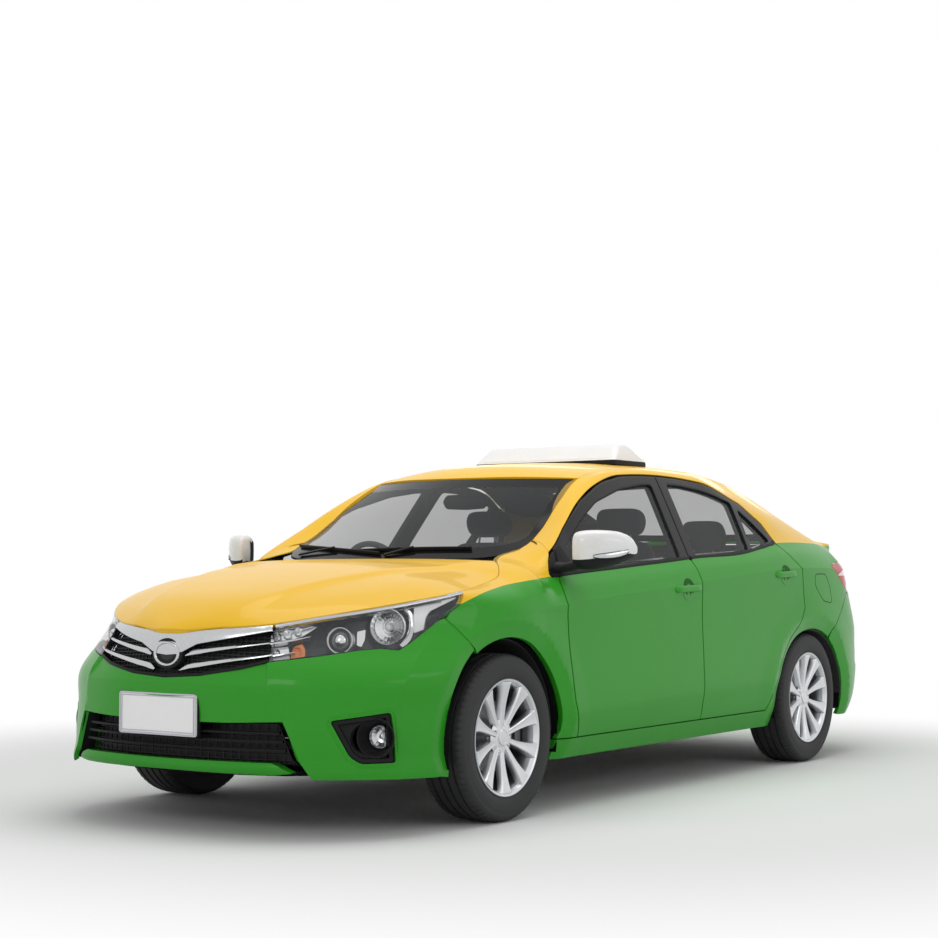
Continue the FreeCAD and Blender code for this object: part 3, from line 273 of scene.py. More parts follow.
def place_at_height(x, z):
    """Which place of the cross-section lies at a height."""
    low, high = np.zeros_like(x), np.where((x > -1110) & (x < 962), RAIL, TOP).astype(float)
    for _ in range(26):
        middle = (low + high) / 2
        below = side_section(x, middle)[:, 2] < z
        low, high = np.where(below, middle, low), np.where(below, high, middle)
    return (low + high) / 2


ARCHES = [
    # axle x, half-length, half-height of the wheel opening
    (1350, 377, 377),
    (-1366, 391, 338),
]
AXLE_Z, ARCH_BAND, ARCH_SWELL, ARCH_TUCK = 316, 66, 5, 15


def arch_swell(x, z):
    """How far the side stands proud round the wheel openings, with a flat band that leans inward."""
    proud = np.zeros_like(x)
    for axle, half_long, half_high in ARCHES:
        away = np.hypot((x - axle) / half_long, (z - AXLE_Z) / half_high)
        beyond = (away - 1) * half_high
        band = ARCH_SWELL - (ARCH_SWELL + ARCH_TUCK) * np.clip(1 - beyond / ARCH_BAND, 0, 1)
        outside = ARCH_SWELL * (1 - soft_step(ARCH_BAND, ARCH_BAND + 130, beyond))
        proud += np.where(beyond < ARCH_BAND, band, outside) * (z > 150)
    return proud


LEVEL = 110


def side_form(spots):
    """The left side, over x and the places of its cross-section, which are LEVEL apart."""
    point = side_section(spots[:, 0], spots[:, 1] / LEVEL)
    x, z = point[:, 0], point[:, 2]
    for end, share in (
        (NOSE, soft_step(1300, 1500, x) * (1 - soft_step(760, SHOULDER_Z, z))),
        (TAIL, soft_step(-1780, -1940, x) * (1 - soft_step(1040, 1070, z))),
    ):
        point[:, 1] += share * (end_half_width(end, x, z) - point[:, 1])
    point[:, 1] += arch_swell(x, z)
    return point


def walk(outline, step):
    """Places along a closed outline, no further apart than a step."""
    places = []
    for start, end in zip(outline, list(outline[1:]) + [outline[0]]):
        count = max(1, math.ceil(math.dist(start, end) / step))
        places += [tuple(np.array(start) + (np.array(end) - start) * i / count) for i in range(count)]
    return np.array(places)


def on_side(outline, step=15, closed=True):
    """An outline drawn in side view, (x, z), carried over to the side form's own places."""
    places = walk(outline, step) if closed else np.array(outline, float)
    level = LEVEL * place_at_height(places[:, 0], places[:, 1])
    return [tuple(p) for p in np.column_stack([places[:, 0], level])]


def at_level(places):
    """(x, place) pairs to the side form's own places."""
    return [(x, LEVEL * place) for x, place in places]


def read_level(x, place):
    """Height of a named place of the cross-section along the car."""
    return read_table(SIDE_ROWS, x)[..., 2 * place + 1]


print("side at the front door",
      side_form(np.array(on_side([(400, 600), (400, 850), (400, 955)], 500))).round(0).tolist()[:3])

# %% [markdown]
# ## Cutting a panel to its outline
# A body panel is a thin sheet, cut to an outline, bent to the form, with its edge rolled in and a
# short flange behind it. The sheet is drawn flat, filled with an even field of triangles, and then
# each corner is moved onto the form. Its shading normals are worked out from the form itself, so the
# gloss runs clean over the triangles, and the rolled edge catches the light along every gap.

# %% Outlines in the flat
def rounded(outline, radius, steps=4):
    """The outline with each corner turned into a short curve."""
    places = []
    for i, corner in enumerate(outline):
        corner = np.array(corner, float)
        before, after = np.array(outline[i - 1], float), np.array(outline[(i + 1) % len(outline)], float)
        near = min(radius, np.linalg.norm(before - corner) / 2.2, np.linalg.norm(after - corner) / 2.2)
        start = corner + (before - corner) / np.linalg.norm(before - corner) * near
        end = corner + (after - corner) / np.linalg.norm(after - corner) * near
        for share in np.linspace(0, 1, steps + 1):
            places.append(tuple((1 - share) ** 2 * start + 2 * share * (1 - share) * corner + share ** 2 * end))
    return places


def signed_area(loop):
    x, y = loop[:, 0], loop[:, 1]
    return 0.5 * float(np.sum(x * np.roll(y, -1) - np.roll(x, -1) * y))


def shrunk(loop, distance):
    """A loop moved to its left by a distance, which is inward for one that runs anticlockwise."""
    along = np.roll(loop, -1, 0) - loop
    along /= np.linalg.norm(along, axis=1)[:, None]
    left = np.column_stack([-along[:, 1], along[:, 0]])
    turn = np.roll(left, 1, 0)
    mitre = (left + turn) / np.clip(1 + np.sum(left * turn, 1), 0.5, 2)[:, None]
    return loop + distance * mitre


def is_inside(places, loop):
    """Which places lie inside a closed loop, by counting the edges to one side of each."""
    start, end = loop, np.roll(loop, -1, 0)
    crossing = (start[None, :, 1] > places[:, None, 1]) != (end[None, :, 1] > places[:, None, 1])
    rise = end[:, 1] - start[:, 1]
    rise = np.where(abs(rise) < 1e-9, 1e-9, rise)
    cut = start[:, 0] + (places[:, None, 1] - start[:, 1]) / rise * (end[:, 0] - start[:, 0])
    return np.sum(crossing & (places[:, None, 0] < cut), 1) % 2 == 1


def is_near(places, others, distance):
    if not len(others):
        return np.zeros(len(places), bool)
    gap = np.hypot(places[:, None, 0] - others[None, :, 0], places[:, None, 1] - others[None, :, 1])
    return gap.min(1) < distance


def fill(outline, holes, step, rim, lines, plain):
    """Triangles inside an outline and outside its holes. Returns the places, the triangles and the loops."""
    loops = []
    for i, loop in enumerate([outline, *holes]):
        loop = walk(loop, step * 0.8)
        if (signed_area(loop) > 0) != (i == 0):
            loop = loop[::-1]
        loops.append(loop)
    rolled = [~plain(loop) if plain else np.ones(len(loop), bool) for loop in loops]
    rings = [loop + (shrunk(loop, rim) - loop) * keep[:, None] for loop, keep in zip(loops, rolled)]
    edge = np.vstack(rings)

    def within(places, margin):
        good = is_inside(places, rings[0])
        for ring in rings[1:]:
            good &= ~is_inside(places, ring)
        return good & ~is_near(places, edge, margin)

    drawn = [walk(list(line) + list(line)[-2:0:-1], step * 0.8) for line in lines]
    drawn = [line[:len(line) // 2 + 1] for line in drawn]
    drawn = [line[within(line, rim * 0.6 + 0.5)] for line in drawn]
    laid = np.vstack(drawn) if drawn else np.zeros((0, 2))
    low, high = edge.min(0), edge.max(0)
    rows = np.arange(low[1] + step / 2, high[1], step * 0.87)
    grid = np.array([(x + (i % 2) * step / 2, y) for i, y in enumerate(rows)
                     for x in np.arange(low[0], high[0], step)]).reshape(-1, 2)
    grid = grid[within(grid, step * 0.55)]
    grid = grid[~is_near(grid, laid, step * 0.5)]
    places, edges = [], []
    for ring in rings:
        first = len(places)
        places += ring.tolist()
        edges += [(first + i, first + (i + 1) % len(ring)) for i in range(len(ring))]
    for line in drawn:
        first = len(places)
        places += line.tolist()
        gaps = np.linalg.norm(np.diff(line, axis=0), axis=1) if len(line) > 1 else []
        edges += [(first + i, first + i + 1) for i, gap in enumerate(gaps) if gap < step * 1.3]
    places += grid.tolist()
    found = delaunay_2d_cdt([Vector(p) for p in places], edges, [], 0, 1e-5)
    flat = np.array([tuple(v) for v in found[0]])
    new_index = {old: new for new, olds in enumerate(found[3]) for old in olds}
    triangles = np.array([f for f in found[2] if len(f) == 3])
    middle = flat[triangles].mean(1)
    good = is_inside(middle, rings[0])
    for ring in rings[1:]:
        good &= ~is_inside(middle, ring)
    triangles = triangles[good]
    a, b, c = (flat[triangles[:, i]] for i in range(3))
    clockwise = (b[:, 0] - a[:, 0]) * (c[:, 1] - a[:, 1]) < (b[:, 1] - a[:, 1]) * (c[:, 0] - a[:, 0])
    triangles[clockwise] = triangles[clockwise][:, ::-1]
    ring_index, first = [], 0
    for ring in rings:
        ring_index.append(np.array([new_index[first + i] for i in range(len(ring))]))
        first += len(ring)
    return flat, triangles, loops, ring_index, rolled


# %% Lay sheets on forms and gather them into one mesh
def unit(vectors):
    return vectors / np.maximum(np.linalg.norm(vectors, axis=-1, keepdims=True), 1e-9)


def form_normals(form, flat, facing):
    """Normals of a form, from four close places round each one."""
    shift = 0.6
    across = form(flat + [shift, 0]) - form(flat - [shift, 0])
    up = form(flat + [0, shift]) - form(flat - [0, shift])
    normal = unit(np.cross(across, up))
    return normal if np.sum(normal @ np.array(facing, float)) > 0 else -normal


class Pressing:
    """Shells that together make one piece; marks are the material numbers of the faces."""

    def __init__(self):
        self.points, self.normals, self.faces, self.marks = [], [], [], []

    def add(self, points, faces, normals=None, mark=0):
        first = len(self.points)
        self.points += [tuple(p) for p in np.asarray(points, float)]
        self.normals += [(0, 0, 0)] * len(points) if normals is None else [tuple(n) for n in normals]
        marks = mark if hasattr(mark, "__len__") else [mark] * len(faces)
        self.faces += [[first + i for i in face] for face in faces]
        self.marks += list(marks)
        return first

    def sheet(self, form, outline, holes=(), step=20, rim=2.5, roll=1.2, depth=14, into=INWARD, facing=OUTWARD,
              lines=(), mark=0, back=None, split=None, offset=0.0, plain=None):
        """One sheet on a form, with rolled edges and a flange, or a whole slab where back gives its inner face."""
        flat, triangles, loops, rings, rolled = fill(outline, holes, step, rim, lines, plain)
        normal = form_normals(form, flat, facing)
        points = form(flat) + offset * normal
        a, b, c = (points[triangles[:, i]] for i in range(3))
        facing_out = np.sum(np.cross(b - a, c - a) * normal[triangles[:, 0]]) > 0
        if not facing_out:
            triangles = triangles[:, ::-1]
        marks = [mark] * len(triangles) if split is None else [mark + int(m) for m in split(flat[triangles].mean(1))]
        first = self.add(points, triangles, normal, marks)
        behind = []
        for loop, ring, keep in zip(loops, rings, rolled):
            count = len(loop)
            outward = unit(form(loop) - form(shrunk(loop, 2.0)))
            edge_normal = form_normals(form, loop, facing)
            edge = form(loop) + (offset - roll * keep[:, None]) * edge_normal
            inward = -edge_normal if into is None else unit(np.array(into, float) + 0 * edge)
            end = back(edge) if back else edge + inward * depth
            lip = self.add(edge, [], unit(edge_normal * 0.45 + outward * 0.9))
            wall = self.add(np.vstack([edge, end]), [], np.vstack([outward, outward]))
            ring_marks = [mark] * count if split is None else [mark + int(m) for m in split(loop)]
            for i in range(count):
                j = (i + 1) % count
                if not (keep[i] or keep[j]):
                    continue
                quads = [[first + ring[i], lip + i, lip + j, first + ring[j]],
                         [wall + i, wall + count + i, wall + count + j, wall + j]]
                if not facing_out:
                    quads = [quad[::-1] for quad in quads]
                self.faces += quads
                self.marks += [ring_marks[i]] * 2
            behind.append(end)
        if back:
            inner = back(points)
            start = self.add(inner, triangles[:, ::-1], None, BACK_MARK)
            rims = self.add(np.vstack(behind), [], None)
            for loop, ring in zip(loops, rings):
                count = len(loop)
                for i in range(count):
                    j = (i + 1) % count
                    quad = [rims + i, start + ring[i], start + ring[j], rims + j]
                    self.faces.append(quad if facing_out else quad[::-1])
                    self.marks.append(BACK_MARK)
                rims += count
        return self

    def mirrored(self):
        """The same piece for the other side of the car."""
        other = Pressing()
        other.points = [(x, -y, z) for x, y, z in self.points]
        other.normals = [(x, -y, z) for x, y, z in self.normals]
        other.faces = [face[::-1] for face in self.faces]
        other.marks = list(self.marks)
        return other

    def build(self, name, materials, body, slot, replaces=(), crease=40):
        """Make the object, give it its finishes and let it ride on its body."""
        mesh = bpy.data.meshes.new(name)
        mesh.from_pydata([Vector(p) * MM for p in self.points], [], self.faces)
        for material in materials:
            mesh.materials.append(material)
        mesh.polygons.foreach_set("material_index", [min(m, len(materials) - 1) for m in self.marks])
        mesh.shade_smooth()
        mesh.set_sharp_from_angle(angle=math.radians(crease))
        normals = np.array(self.normals)
        if np.any(normals):
            corner = np.zeros(len(mesh.loops), np.int32)
            mesh.loops.foreach_get("vertex_index", corner)
            mesh.normals_split_custom_set([tuple(n) for n in normals[corner]])
        mesh.validate(clean_customdata=False)
        piece = bpy.data.objects.new(name, mesh)
        bpy.context.scene.collection.objects.link(piece)
        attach(piece, body)
        if replaces:
            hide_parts(*replaces)
        MADE.append((name, len(mesh.polygons)))
        return piece

    def build_both(self, name, materials, body, slot, replaces=(), crease=40):
        """Make the left piece and its mirror image; each % in a name stands for the side."""
        for side, made in (("left", self), ("right", self.mirrored())):
            name_here, body_here, *nodes = (text.replace("%", side) for text in (name, body, *replaces))
            made.build(name_here, materials, body_here, slot, nodes, crease)


BACK_MARK = 3
MADE = []
print("ready to press panels")

# %% [markdown]
# ## Finishes written as sums
# A finish is a small sum over noises, heights and masks. A class that holds one output of the
# node tree, with plus, minus, times and the rest, lets that sum be written as Python. Colours and
# vectors are mixed with their own nodes, since plain maths would turn them grey.

# %% One socket that can be added and multiplied
class Value:
    """An output socket of a finish, for sums."""

    def __init__(self, finish, socket):
        self.finish, self.socket = finish, socket

    def do(self, operation, *others):
        return self.finish.node("Math", {"operation": operation}, *((self,) + others))

    def __add__(self, other): return self.do("ADD", other)
    def __radd__(self, other): return self.do("ADD", other)
    def __sub__(self, other): return self.do("SUBTRACT", other)
    def __rsub__(self, other): return self.finish.node("Math", {"operation": "SUBTRACT"}, other, self)
    def __mul__(self, other): return self.do("MULTIPLY", other)
    def __rmul__(self, other): return self.do("MULTIPLY", other)

    def ramp(self, low, high, to_low=0.0, to_high=1.0):
        return self.finish.node("MapRange", {"interpolation_type": "SMOOTHSTEP"}, self, low, high, to_low, to_high)


class Finish:
    """A material being written: one Principled shader and the nodes that feed it."""

    def __init__(self, name, colour, roughness, **sockets):
        self.material = bpy.data.materials.new(name)
        self.material.use_nodes = True
        self.tree = self.material.node_tree
        self.shader = self.tree.nodes["Principled BSDF"]
        self.shader.inputs["Base Color"].default_value = (*colour, 1)
        self.shader.inputs["Roughness"].default_value = roughness
        for socket, value in sockets.items():
            self.shader.inputs[socket.replace("_", " ")].default_value = value
        FINISHES[name] = self.material

    def node(self, kind, settings, *inputs, out=0, **named):
        """Any node: its type, its settings, and the values or links of its sockets."""
        node = self.tree.nodes.new("ShaderNode" + kind)
        for key, value in settings.items():
            setattr(node, key, value)
        sockets = {socket.identifier: socket for socket in node.inputs}
        for socket, value in list(zip(node.inputs, inputs)) + [(sockets[k], v) for k, v in named.items()]:
            if isinstance(value, Value):
                self.tree.links.new(value.socket, socket)
            elif value is not None:
                socket.default_value = value
        return Value(self, node.outputs[out])

    def place(self):
        return self.node("TexCoord", {}, out=3)

    def height(self):
        return self.node("SeparateXYZ", {}, self.place(), out=2)

    def noise(self, scale, detail=2.0, roughness=0.5, vector=None):
        return self.node("TexNoise", {}, vector or self.place(), None, scale, detail, roughness)

    def mix(self, share, first, second):
        """Two colours mixed by a share."""
        return self.node("Mix", {"data_type": "RGBA"}, share, out=2, A_Color=first, B_Color=second)

    def feed(self, socket, value):
        self.tree.links.new(value.socket, self.shader.inputs[socket])

    def relief(self, height, depth, strength=1.0):
        """Raise the surface by a height, as a Bump node on the normal."""
        bump = self.node("Bump", {}, Height=height, Distance=depth, Strength=strength)
        self.feed("Normal", bump)


FINISHES = {}


def body_paint(name, colour, deeper):
    """Two-layer car paint: colour that shifts a little and turns deeper towards the bottom as painted shade, under a
    clear and slightly uneven lacquer.
    """
    paint = Finish(name, colour, 0.42, Coat_Weight=0.3, Coat_Roughness=0.03, Coat_IOR=1.38, IOR=1.28)
    clouds = paint.noise(1.3, 3.0)
    flakes = paint.noise(900.0, 1.0)
    # painted shade: lower on the car this mask mixes the colour towards the deeper one; the same mask also makes the
    # paint rougher there, as road dust does
    dust = paint.height().ramp(0.55, 0.12)
    shade = (clouds * 0.35 + flakes * 0.25 + dust * 0.25).ramp(0.1, 0.75)
    paint.feed("Base Color", paint.mix(shade, (*colour, 1), (*deeper, 1)))
    paint.feed("Roughness", dust * 0.14 + paint.noise(30.0, 2.0) * 0.06 + 0.36)
    paint.relief(paint.noise(220.0, 2.0), 0.00004, 0.5)
    return paint.material


# the second colour of each paint serves both as its random deeper tone and as its painted shade low on the car
GREEN = body_paint("green_paint", (0.028, 0.34, 0.014), (0.021, 0.28, 0.010))
YELLOW = body_paint("yellow_paint", (0.98, 0.58, 0.018), (0.93, 0.52, 0.014))


def moulding(name, colour, roughness, grain=900.0, depth=0.00005, **sockets):
    """Moulded plastic with a fine leather-like grain."""
    plastic = Finish(name, colour, roughness, **sockets)
    grains = plastic.noise(grain, 3.0, 0.6)
    patches = plastic.noise(6.0, 2.0)
    lighter = tuple(min(1, c * 1.35 + 0.004) for c in colour)
    plastic.feed("Base Color", plastic.mix(patches * 0.5 + grains * 0.3, (*colour, 1), (*lighter, 1)))
    plastic.feed("Roughness", grains * 0.12 + patches * 0.08 + (roughness - 0.1))
    plastic.relief(grains, depth, 0.6)
    return plastic.material


BLACK_GLOSS = moulding("black_gloss", (0.010, 0.010, 0.011), 0.22, 300.0, 0.00002, IOR=1.25)
BLACK_TRIM = moulding("black_trim", (0.013, 0.013, 0.014), 0.45, IOR=1.2)
BLACK_MATT = moulding("black_matt", (0.006, 0.006, 0.007), 0.75, IOR=1.15)
WHITE_GLOSS = moulding("white_gloss", (0.80, 0.80, 0.80), 0.28, 200.0, 0.00002, Coat_Weight=0.6, Coat_Roughness=0.08)
CABIN = moulding("cabin_plastic", (0.045, 0.046, 0.050), 0.62, 700.0, 0.0001)
print(len(FINISHES), "finishes")

# %% [markdown]
# ## Doors
# A door is a slab: a painted skin below the belt, a black frame round the glass above it, and an inner
# panel that faces the cabin. Its edges lean forward as they go in, so that it swings clear of the pillar.
# The skin is cut a little inside the doorway, which leaves the dark gap that is seen between panels.

# %% Outlines of the doors and their windows
GAP = 5
FRONT_DOOR = [
    (855, 284), (907, 430), (935, 630), (955, 810), (955, 828), (944, 875), (904, 925), (880, 982), (857, 1034),
    (715, 1118), (493, 1239), (262, 1329), (74, 1363), (-102, 1375), (-226, 1373), (-139, 998), (-175, 892),
    (-192, 633), (-190, 284),
]
REAR_DOOR = [
    (-195, 284), (-197, 633), (-180, 892), (-144, 998), (-231, 1373), (-451, 1370), (-625, 1355), (-791, 1325),
    (-925, 1260), (-1031, 1170), (-1074, 1090), (-1080, 1072), (-1233, 949), (-1258, 760), (-1200, 672),
    (-1105, 610), (-1030, 530), (-960, 430), (-845, 284),
]
FRONT_WINDOW = [(748, 958), (758, 1047), (560, 1155), (378, 1236), (133, 1300), (-60, 1326), (-152, 1331), (-70, 1004)]
REAR_WINDOW = [(-212, 1012), (-292, 1338), (-430, 1335), (-586, 1320), (-700, 1299), (-822, 1268), (-748, 1042)]
QUARTER_WINDOW = [(-788, 1046), (-858, 1238), (-930, 1182), (-1028, 1086)]
SLANT = 0.35


def grown(outline, distance):
    """A closed outline moved outward, or inward where the distance is negative."""
    loop = np.array(outline, float)
    return [tuple(p) for p in shrunk(loop, -distance if signed_area(loop) > 0 else distance)]


def belt_height(x):
    return read_level(x, BELT)


def lining(edge):
    """Inner face of a door: its edges lean forward as they go in."""
    x, y, z = edge.T
    deep = np.interp(z, (284, 900, 1010), (745, 745, 760))
    deep = np.minimum(np.maximum(deep, y - np.interp(z, (1000, 1070), (150, 36))), y - 30)
    return np.column_stack([x + SLANT * (y - deep), deep, z - 0.3 * (y - deep) * soft_step(1020, 1080, z)])


def cut_by_belt(outline, drop, upper):
    """The part of an outline above or below the belt line less a drop."""
    places = walk(outline, 12)
    level = belt_height(places[:, 0]) - drop
    keep = places[:, 1] > level if upper else places[:, 1] < level
    start = next(i for i in range(len(keep)) if keep[i] and not keep[i - 1])
    order = [(start + i) % len(keep) for i in range(len(keep)) if keep[(start + i) % len(keep)]]
    kept = places[order]
    joint = np.linspace(kept[-1][0], kept[0][0], max(2, int(abs(kept[-1][0] - kept[0][0]) / 15)))
    line = np.column_stack([joint, belt_height(joint) - drop])
    return [tuple(p) for p in np.vstack([kept, line[1:-1]])]


CREASE_LINES = [at_level([(x, CREASE + lift) for x in np.arange(980, -1950, -15)]) for lift in (-0.035, 0, 0.04)]


def press_door(outline, windows):
    """Skin, inner panel and black window frame of a left door."""
    door = Pressing()
    skin = rounded(cut_by_belt(outline, 4, False), 14)
    door.sheet(side_form, on_side(skin, 15), step=22, lines=CREASE_LINES, back=lining)
    frame_outline = cut_by_belt(outline, 8, True)
    holes = [on_side(rounded(window, 22), 12) for window in windows]
    door.sheet(side_form, on_side(frame_outline, 12), holes, step=18, mark=1, offset=-2.0, rim=3, roll=2, back=lining)
    return door


doors = {"front": press_door(FRONT_DOOR, [FRONT_WINDOW]), "rear": press_door(REAR_DOOR, [REAR_WINDOW, QUARTER_WINDOW])}
for place, door in doors.items():
    door.build_both(place + "_door_skin_%", [GREEN, BLACK_GLOSS, BLACK_TRIM, CABIN], place + "_door_%", "green_paint",
                    [place + "_door_%"])
print(MADE)

# %% [markdown]
# ## Wings, sills and rear quarters
# The side pressing runs in one piece from the foot of the windscreen pillar, over the doors, to the
# boot, and under the doors as the sill. The wing is bolted on ahead of it. Both carry two colours,
# which part along a line, so the triangles are sorted by that line.

# %% Body sides
def arch_edge(index, low_angle, high_angle, spare=0.0):
    """Places along the edge of a wheel opening."""
    axle, half_long, half_high = ARCHES[index]
    turns = np.radians(np.arange(low_angle, high_angle + 0.1, 3))
    return [(axle + (half_long + spare) * math.cos(t), AXLE_Z + (half_high + spare) * math.sin(t)) for t in turns]


PAINT_LINE = [
    # x, height where green gives way to yellow
    (1700, 772), (1640, 804), (1596, 824), (1558, 838), (1494, 856), (1362, 879), (1289, 891), (1175, 906), (1064, 914),
    (970, 919), (900, 930), (700, 941), (0, 985), (-900, 1050), (-1080, 1076), (-1418, 1082), (-1717, 1077),
    (-1867, 1071), (-1960, 1070), (-2240, 1300),
]


def is_yellow(places):
    height = side_form(places)[:, 2]
    return height > read_table(PAINT_LINE, places[:, 0])[:, 0]


def corner_line(place_y, low, high):
    """Line up the rear corner at a distance from the middle, as (x, z)."""
    line = []
    for z in np.arange(low, high + 1, 12):
        x = np.linspace(-2000, -2236, 400)
        y = end_half_width(TAIL, x, np.full_like(x, z))
        line.append((float(x[np.argmin(abs(y - place_y))]), float(z)))
    return line


TAIL_LAMP = [(-2060, 790), (-1950, 808), (-1838, 834), (-1768, 880), (-1702, 928), (-1652, 956), (-1654, 966),
             (-1690, 977), (-1780, 984), (-1900, 986), (-2060, 980)]
LID_CORNER = 526
PILLAR_SEAM = [(765, TOP), (820, 10.55), (890, RAIL + 0.04)]


def dense(places, step=14):
    """An open line with more places along it."""
    line = [places[0]]
    for start, end in zip(places, places[1:]):
        count = max(1, math.ceil(math.dist(start, end) / step))
        line += [tuple(np.array(start) + (np.array(end) - start) * i / count) for i in range(1, count + 1)]
    return line


def side_line(places):
    """An open line in side view, (x, z), on the side form's own places."""
    return on_side(dense(places), closed=False)


def without_repeats(outline):
    """An outline less each place that falls on the one before it."""
    return [p for i, p in enumerate(outline) if math.dist(p, outline[i - 1]) > 0.5]


rear_edge = grown(REAR_DOOR, GAP)
rail_edge = [(x, RAIL + 0.05) for x in range(885, -926, -15)]
side_outline = (
    side_line([(985, 279), (985, 200), (-985, 200)] + arch_edge(1, 0, 120) + [(-1585, 642), (-1640, 684), (-1726, 747)]
              + TAIL_LAMP[2:] + corner_line(LID_CORNER, 976, 1072))
    + at_level(dense([(-2222, TOP), (765, TOP)]) + PILLAR_SEAM[1:] + rail_edge)
    + side_line(rear_edge[9:19] + [(-845, 279), (985, 279)])
)
paint_border = side_line([(x, float(read_table(PAINT_LINE, x)[0])) for x in range(1680, -1940, -12)])
two_colours = {"lines": CREASE_LINES + [paint_border], "split": is_yellow}
body_side = Pressing().sheet(side_form, without_repeats(side_outline), step=17, depth=30, **two_colours)
wing_outline = (
    side_line([(861, 284), (985, 284)] + arch_edge(0, 180, 180)) + side_line(arch_edge(0, 59, 180)[::-1])
    + side_line([(1556, 655), (1590, 681), (1605, 697), (1636, 737), (1668, 768), (1650, 788), (1608, 815),
                 (1564, 870)])
    + at_level(dense([(1548, TOP), (765, TOP)]) + PILLAR_SEAM[1:])
    + side_line([(924, 982), (949, 945), (955, 928), (950, 917), (911, 919), (934, 899), (951, 872), (960, 830),
                 (961, 810), (941, 630), (913, 430), (861, 284)])
)
wing = Pressing().sheet(side_form, without_repeats(wing_outline), step=16, depth=20, **two_colours)
gusset = [(909, 922), (949, 921), (952, 930), (946, 945), (921, 981), (893, 1008), (864, 1026), (872, 1008), (885, 982),
          (897, 950)]
wing.sheet(side_form, on_side(rounded(gusset, 6), 8), step=14, depth=12, offset=-0.5, mark=2)
for piece, name in ((body_side, "body_side"), (wing, "front_wing")):
    piece.build_both(name + "_skin_%", [GREEN, YELLOW, BLACK_GLOSS], "body", "green_paint", [name + "_%"])
print(MADE[-4:])

# %% [markdown]
# ## Bonnet, roof and boot lid
# These are drawn from above. The bonnet is crowned from side to side, with a soft ridge on each side
# of a raised middle. The boot lid turns down into the tail, so it is two sheets that meet on an edge.

# %% Panels drawn from above
ROOF = [
    (500, 541, 1288, 1349), (420, 541, 1313, 1381), (318, 541, 1346, 1409), (74, 541, 1388, 1434),
    (-230, 541, 1410, 1451), (-625, 541, 1412, 1461), (-925, 541, 1388, 1446), (-1200, 541, 1345, 1406),
]


def crowned(table, fullness=2.0):
    """Form of a panel that is crowned across, from a table of x, half-width, edge height, middle height."""
    def form(spots):
        half, edge, middle = np.moveaxis(read_table(table, spots[:, 0]), -1, 0)
        share = np.clip(abs(spots[:, 1]) / half, 0, 1.02)
        return np.column_stack([spots, edge + (middle - edge) * (1 - share ** fullness)])
    return form


def ridge_y(x):
    """Distance of the bonnet's ridges from the middle line."""
    return np.interp(x, (1104, 1600, 2284), (520, 405, 190))


def bonnet_form(spots):
    point = crowned(HOOD, 2.6)(spots)
    beyond = abs(spots[:, 1]) - ridge_y(spots[:, 0])
    fade = soft_step(1104, 1300, spots[:, 0]) * soft_step(2290, 2050, spots[:, 0])
    point[:, 2] += fade * (5 * np.exp(-np.clip(-beyond, 0, None) / 90) * (beyond < 0)
                           + (beyond >= 0) * (5 - 11 * soft_step(0, 60, beyond) + 6 * soft_step(60, 230, beyond)))
    return point


def both_sides(line):
    """An outline from one side's places, (x, y), run out on the left and back on the right."""
    return line + [(x, -y) for x, y in reversed(line) if y > 0]


bonnet_side = [(x, float(read_table(HOOD, x)[0])) for x in range(1130, 2281, 25)]
bonnet_line = [(1104, 0), (1102, 300), (1094, 560), (1094, 606), (1108, 634)] + bonnet_side
bonnet_line += [(2284, 80), (2293, 45), (2295, 0)]
ridges = [[(x, side * float(ridge_y(x))) for x in range(1140, 2250, 15)] for side in (1, -1)]
bonnet = Pressing().sheet(bonnet_form, both_sides(bonnet_line), step=17, into=DOWNWARD, facing=UPWARD, lines=ridges,
                          back=lambda edge: edge * [0.985, 0.985, 1] + [22, 0, -20], roll=1.5)
bonnet.build("bonnet_skin", [YELLOW, YELLOW, YELLOW, BLACK_MATT], "hood", "yellow_paint", ["hood"])


def bowed(middle, side, half, count=24):
    """Half of a bowed edge seen from above, from the middle outward."""
    return [(side + (middle - side) * (1 - (i / count) ** 2), half * i / count) for i in range(count + 1)]


ROOF_HALF, LINING_HALF = 541, 536
roof_line = bowed(494, 322, ROOF_HALF) + [(x, ROOF_HALF) for x in range(290, -1130, -25)]
roof_line += bowed(-1192, -1132, ROOF_HALF)[::-1]
roof = Pressing().sheet(crowned(ROOF), both_sides(roof_line), step=22, into=DOWNWARD, facing=UPWARD, roll=1.5)
roof.build("roof_skin", [YELLOW], "body", "yellow_paint", ["roof_panel"])


def tail_form(spots):
    return end_point(TAIL, spots[:, 0], spots[:, 1])


def tail_girth(y, z):
    """Way round the tail of a place at a distance from the middle."""
    turns = np.linspace(0, 1400, 1400)
    points = end_point(TAIL, turns, np.full_like(turns, z))
    return float(np.interp(abs(y), points[:, 1], turns) * np.sign(y))


def lid_half(x):
    """Half-width of the lid, kept inside the top edge of the flank."""
    return min(float(read_table(LID, x)[0]), float(side_form(np.array(at_level([(x, TOP)])))[0, 1]) - 4)


lid_line = [(-1925, 0), (-1925, 560)] + [(x, lid_half(x)) for x in range(-1940, -2216, -20)]
lid_line += [(-2240, 470), (-2252, 300), (-2256, 0)]
lid = Pressing().sheet(crowned(LID), both_sides(lid_line), step=20, into=DOWNWARD, facing=UPWARD, depth=20, roll=1.5)
heights = [650, 700, 776, 836, 900, 976, 1040, 1084]
lid_back = [(tail_girth(520, z), z) for z in heights]
lid_back = lid_back + [(-g, z) for g, z in reversed(lid_back)]
lid.sheet(tail_form, lid_back, step=20, into=FORWARD, facing=BACKWARD, depth=30)
lid.build("boot_lid_skin", [GREEN], "boot_lid", "green_paint", ["boot_lid"])
print(MADE[-3:])

# %% [markdown]
# ## Glass
# The panes are bowed sheets. A black band is printed round the edge of the windscreen and the rear
# window, which hides the glue and, from outside, gives the glass its dark frame.

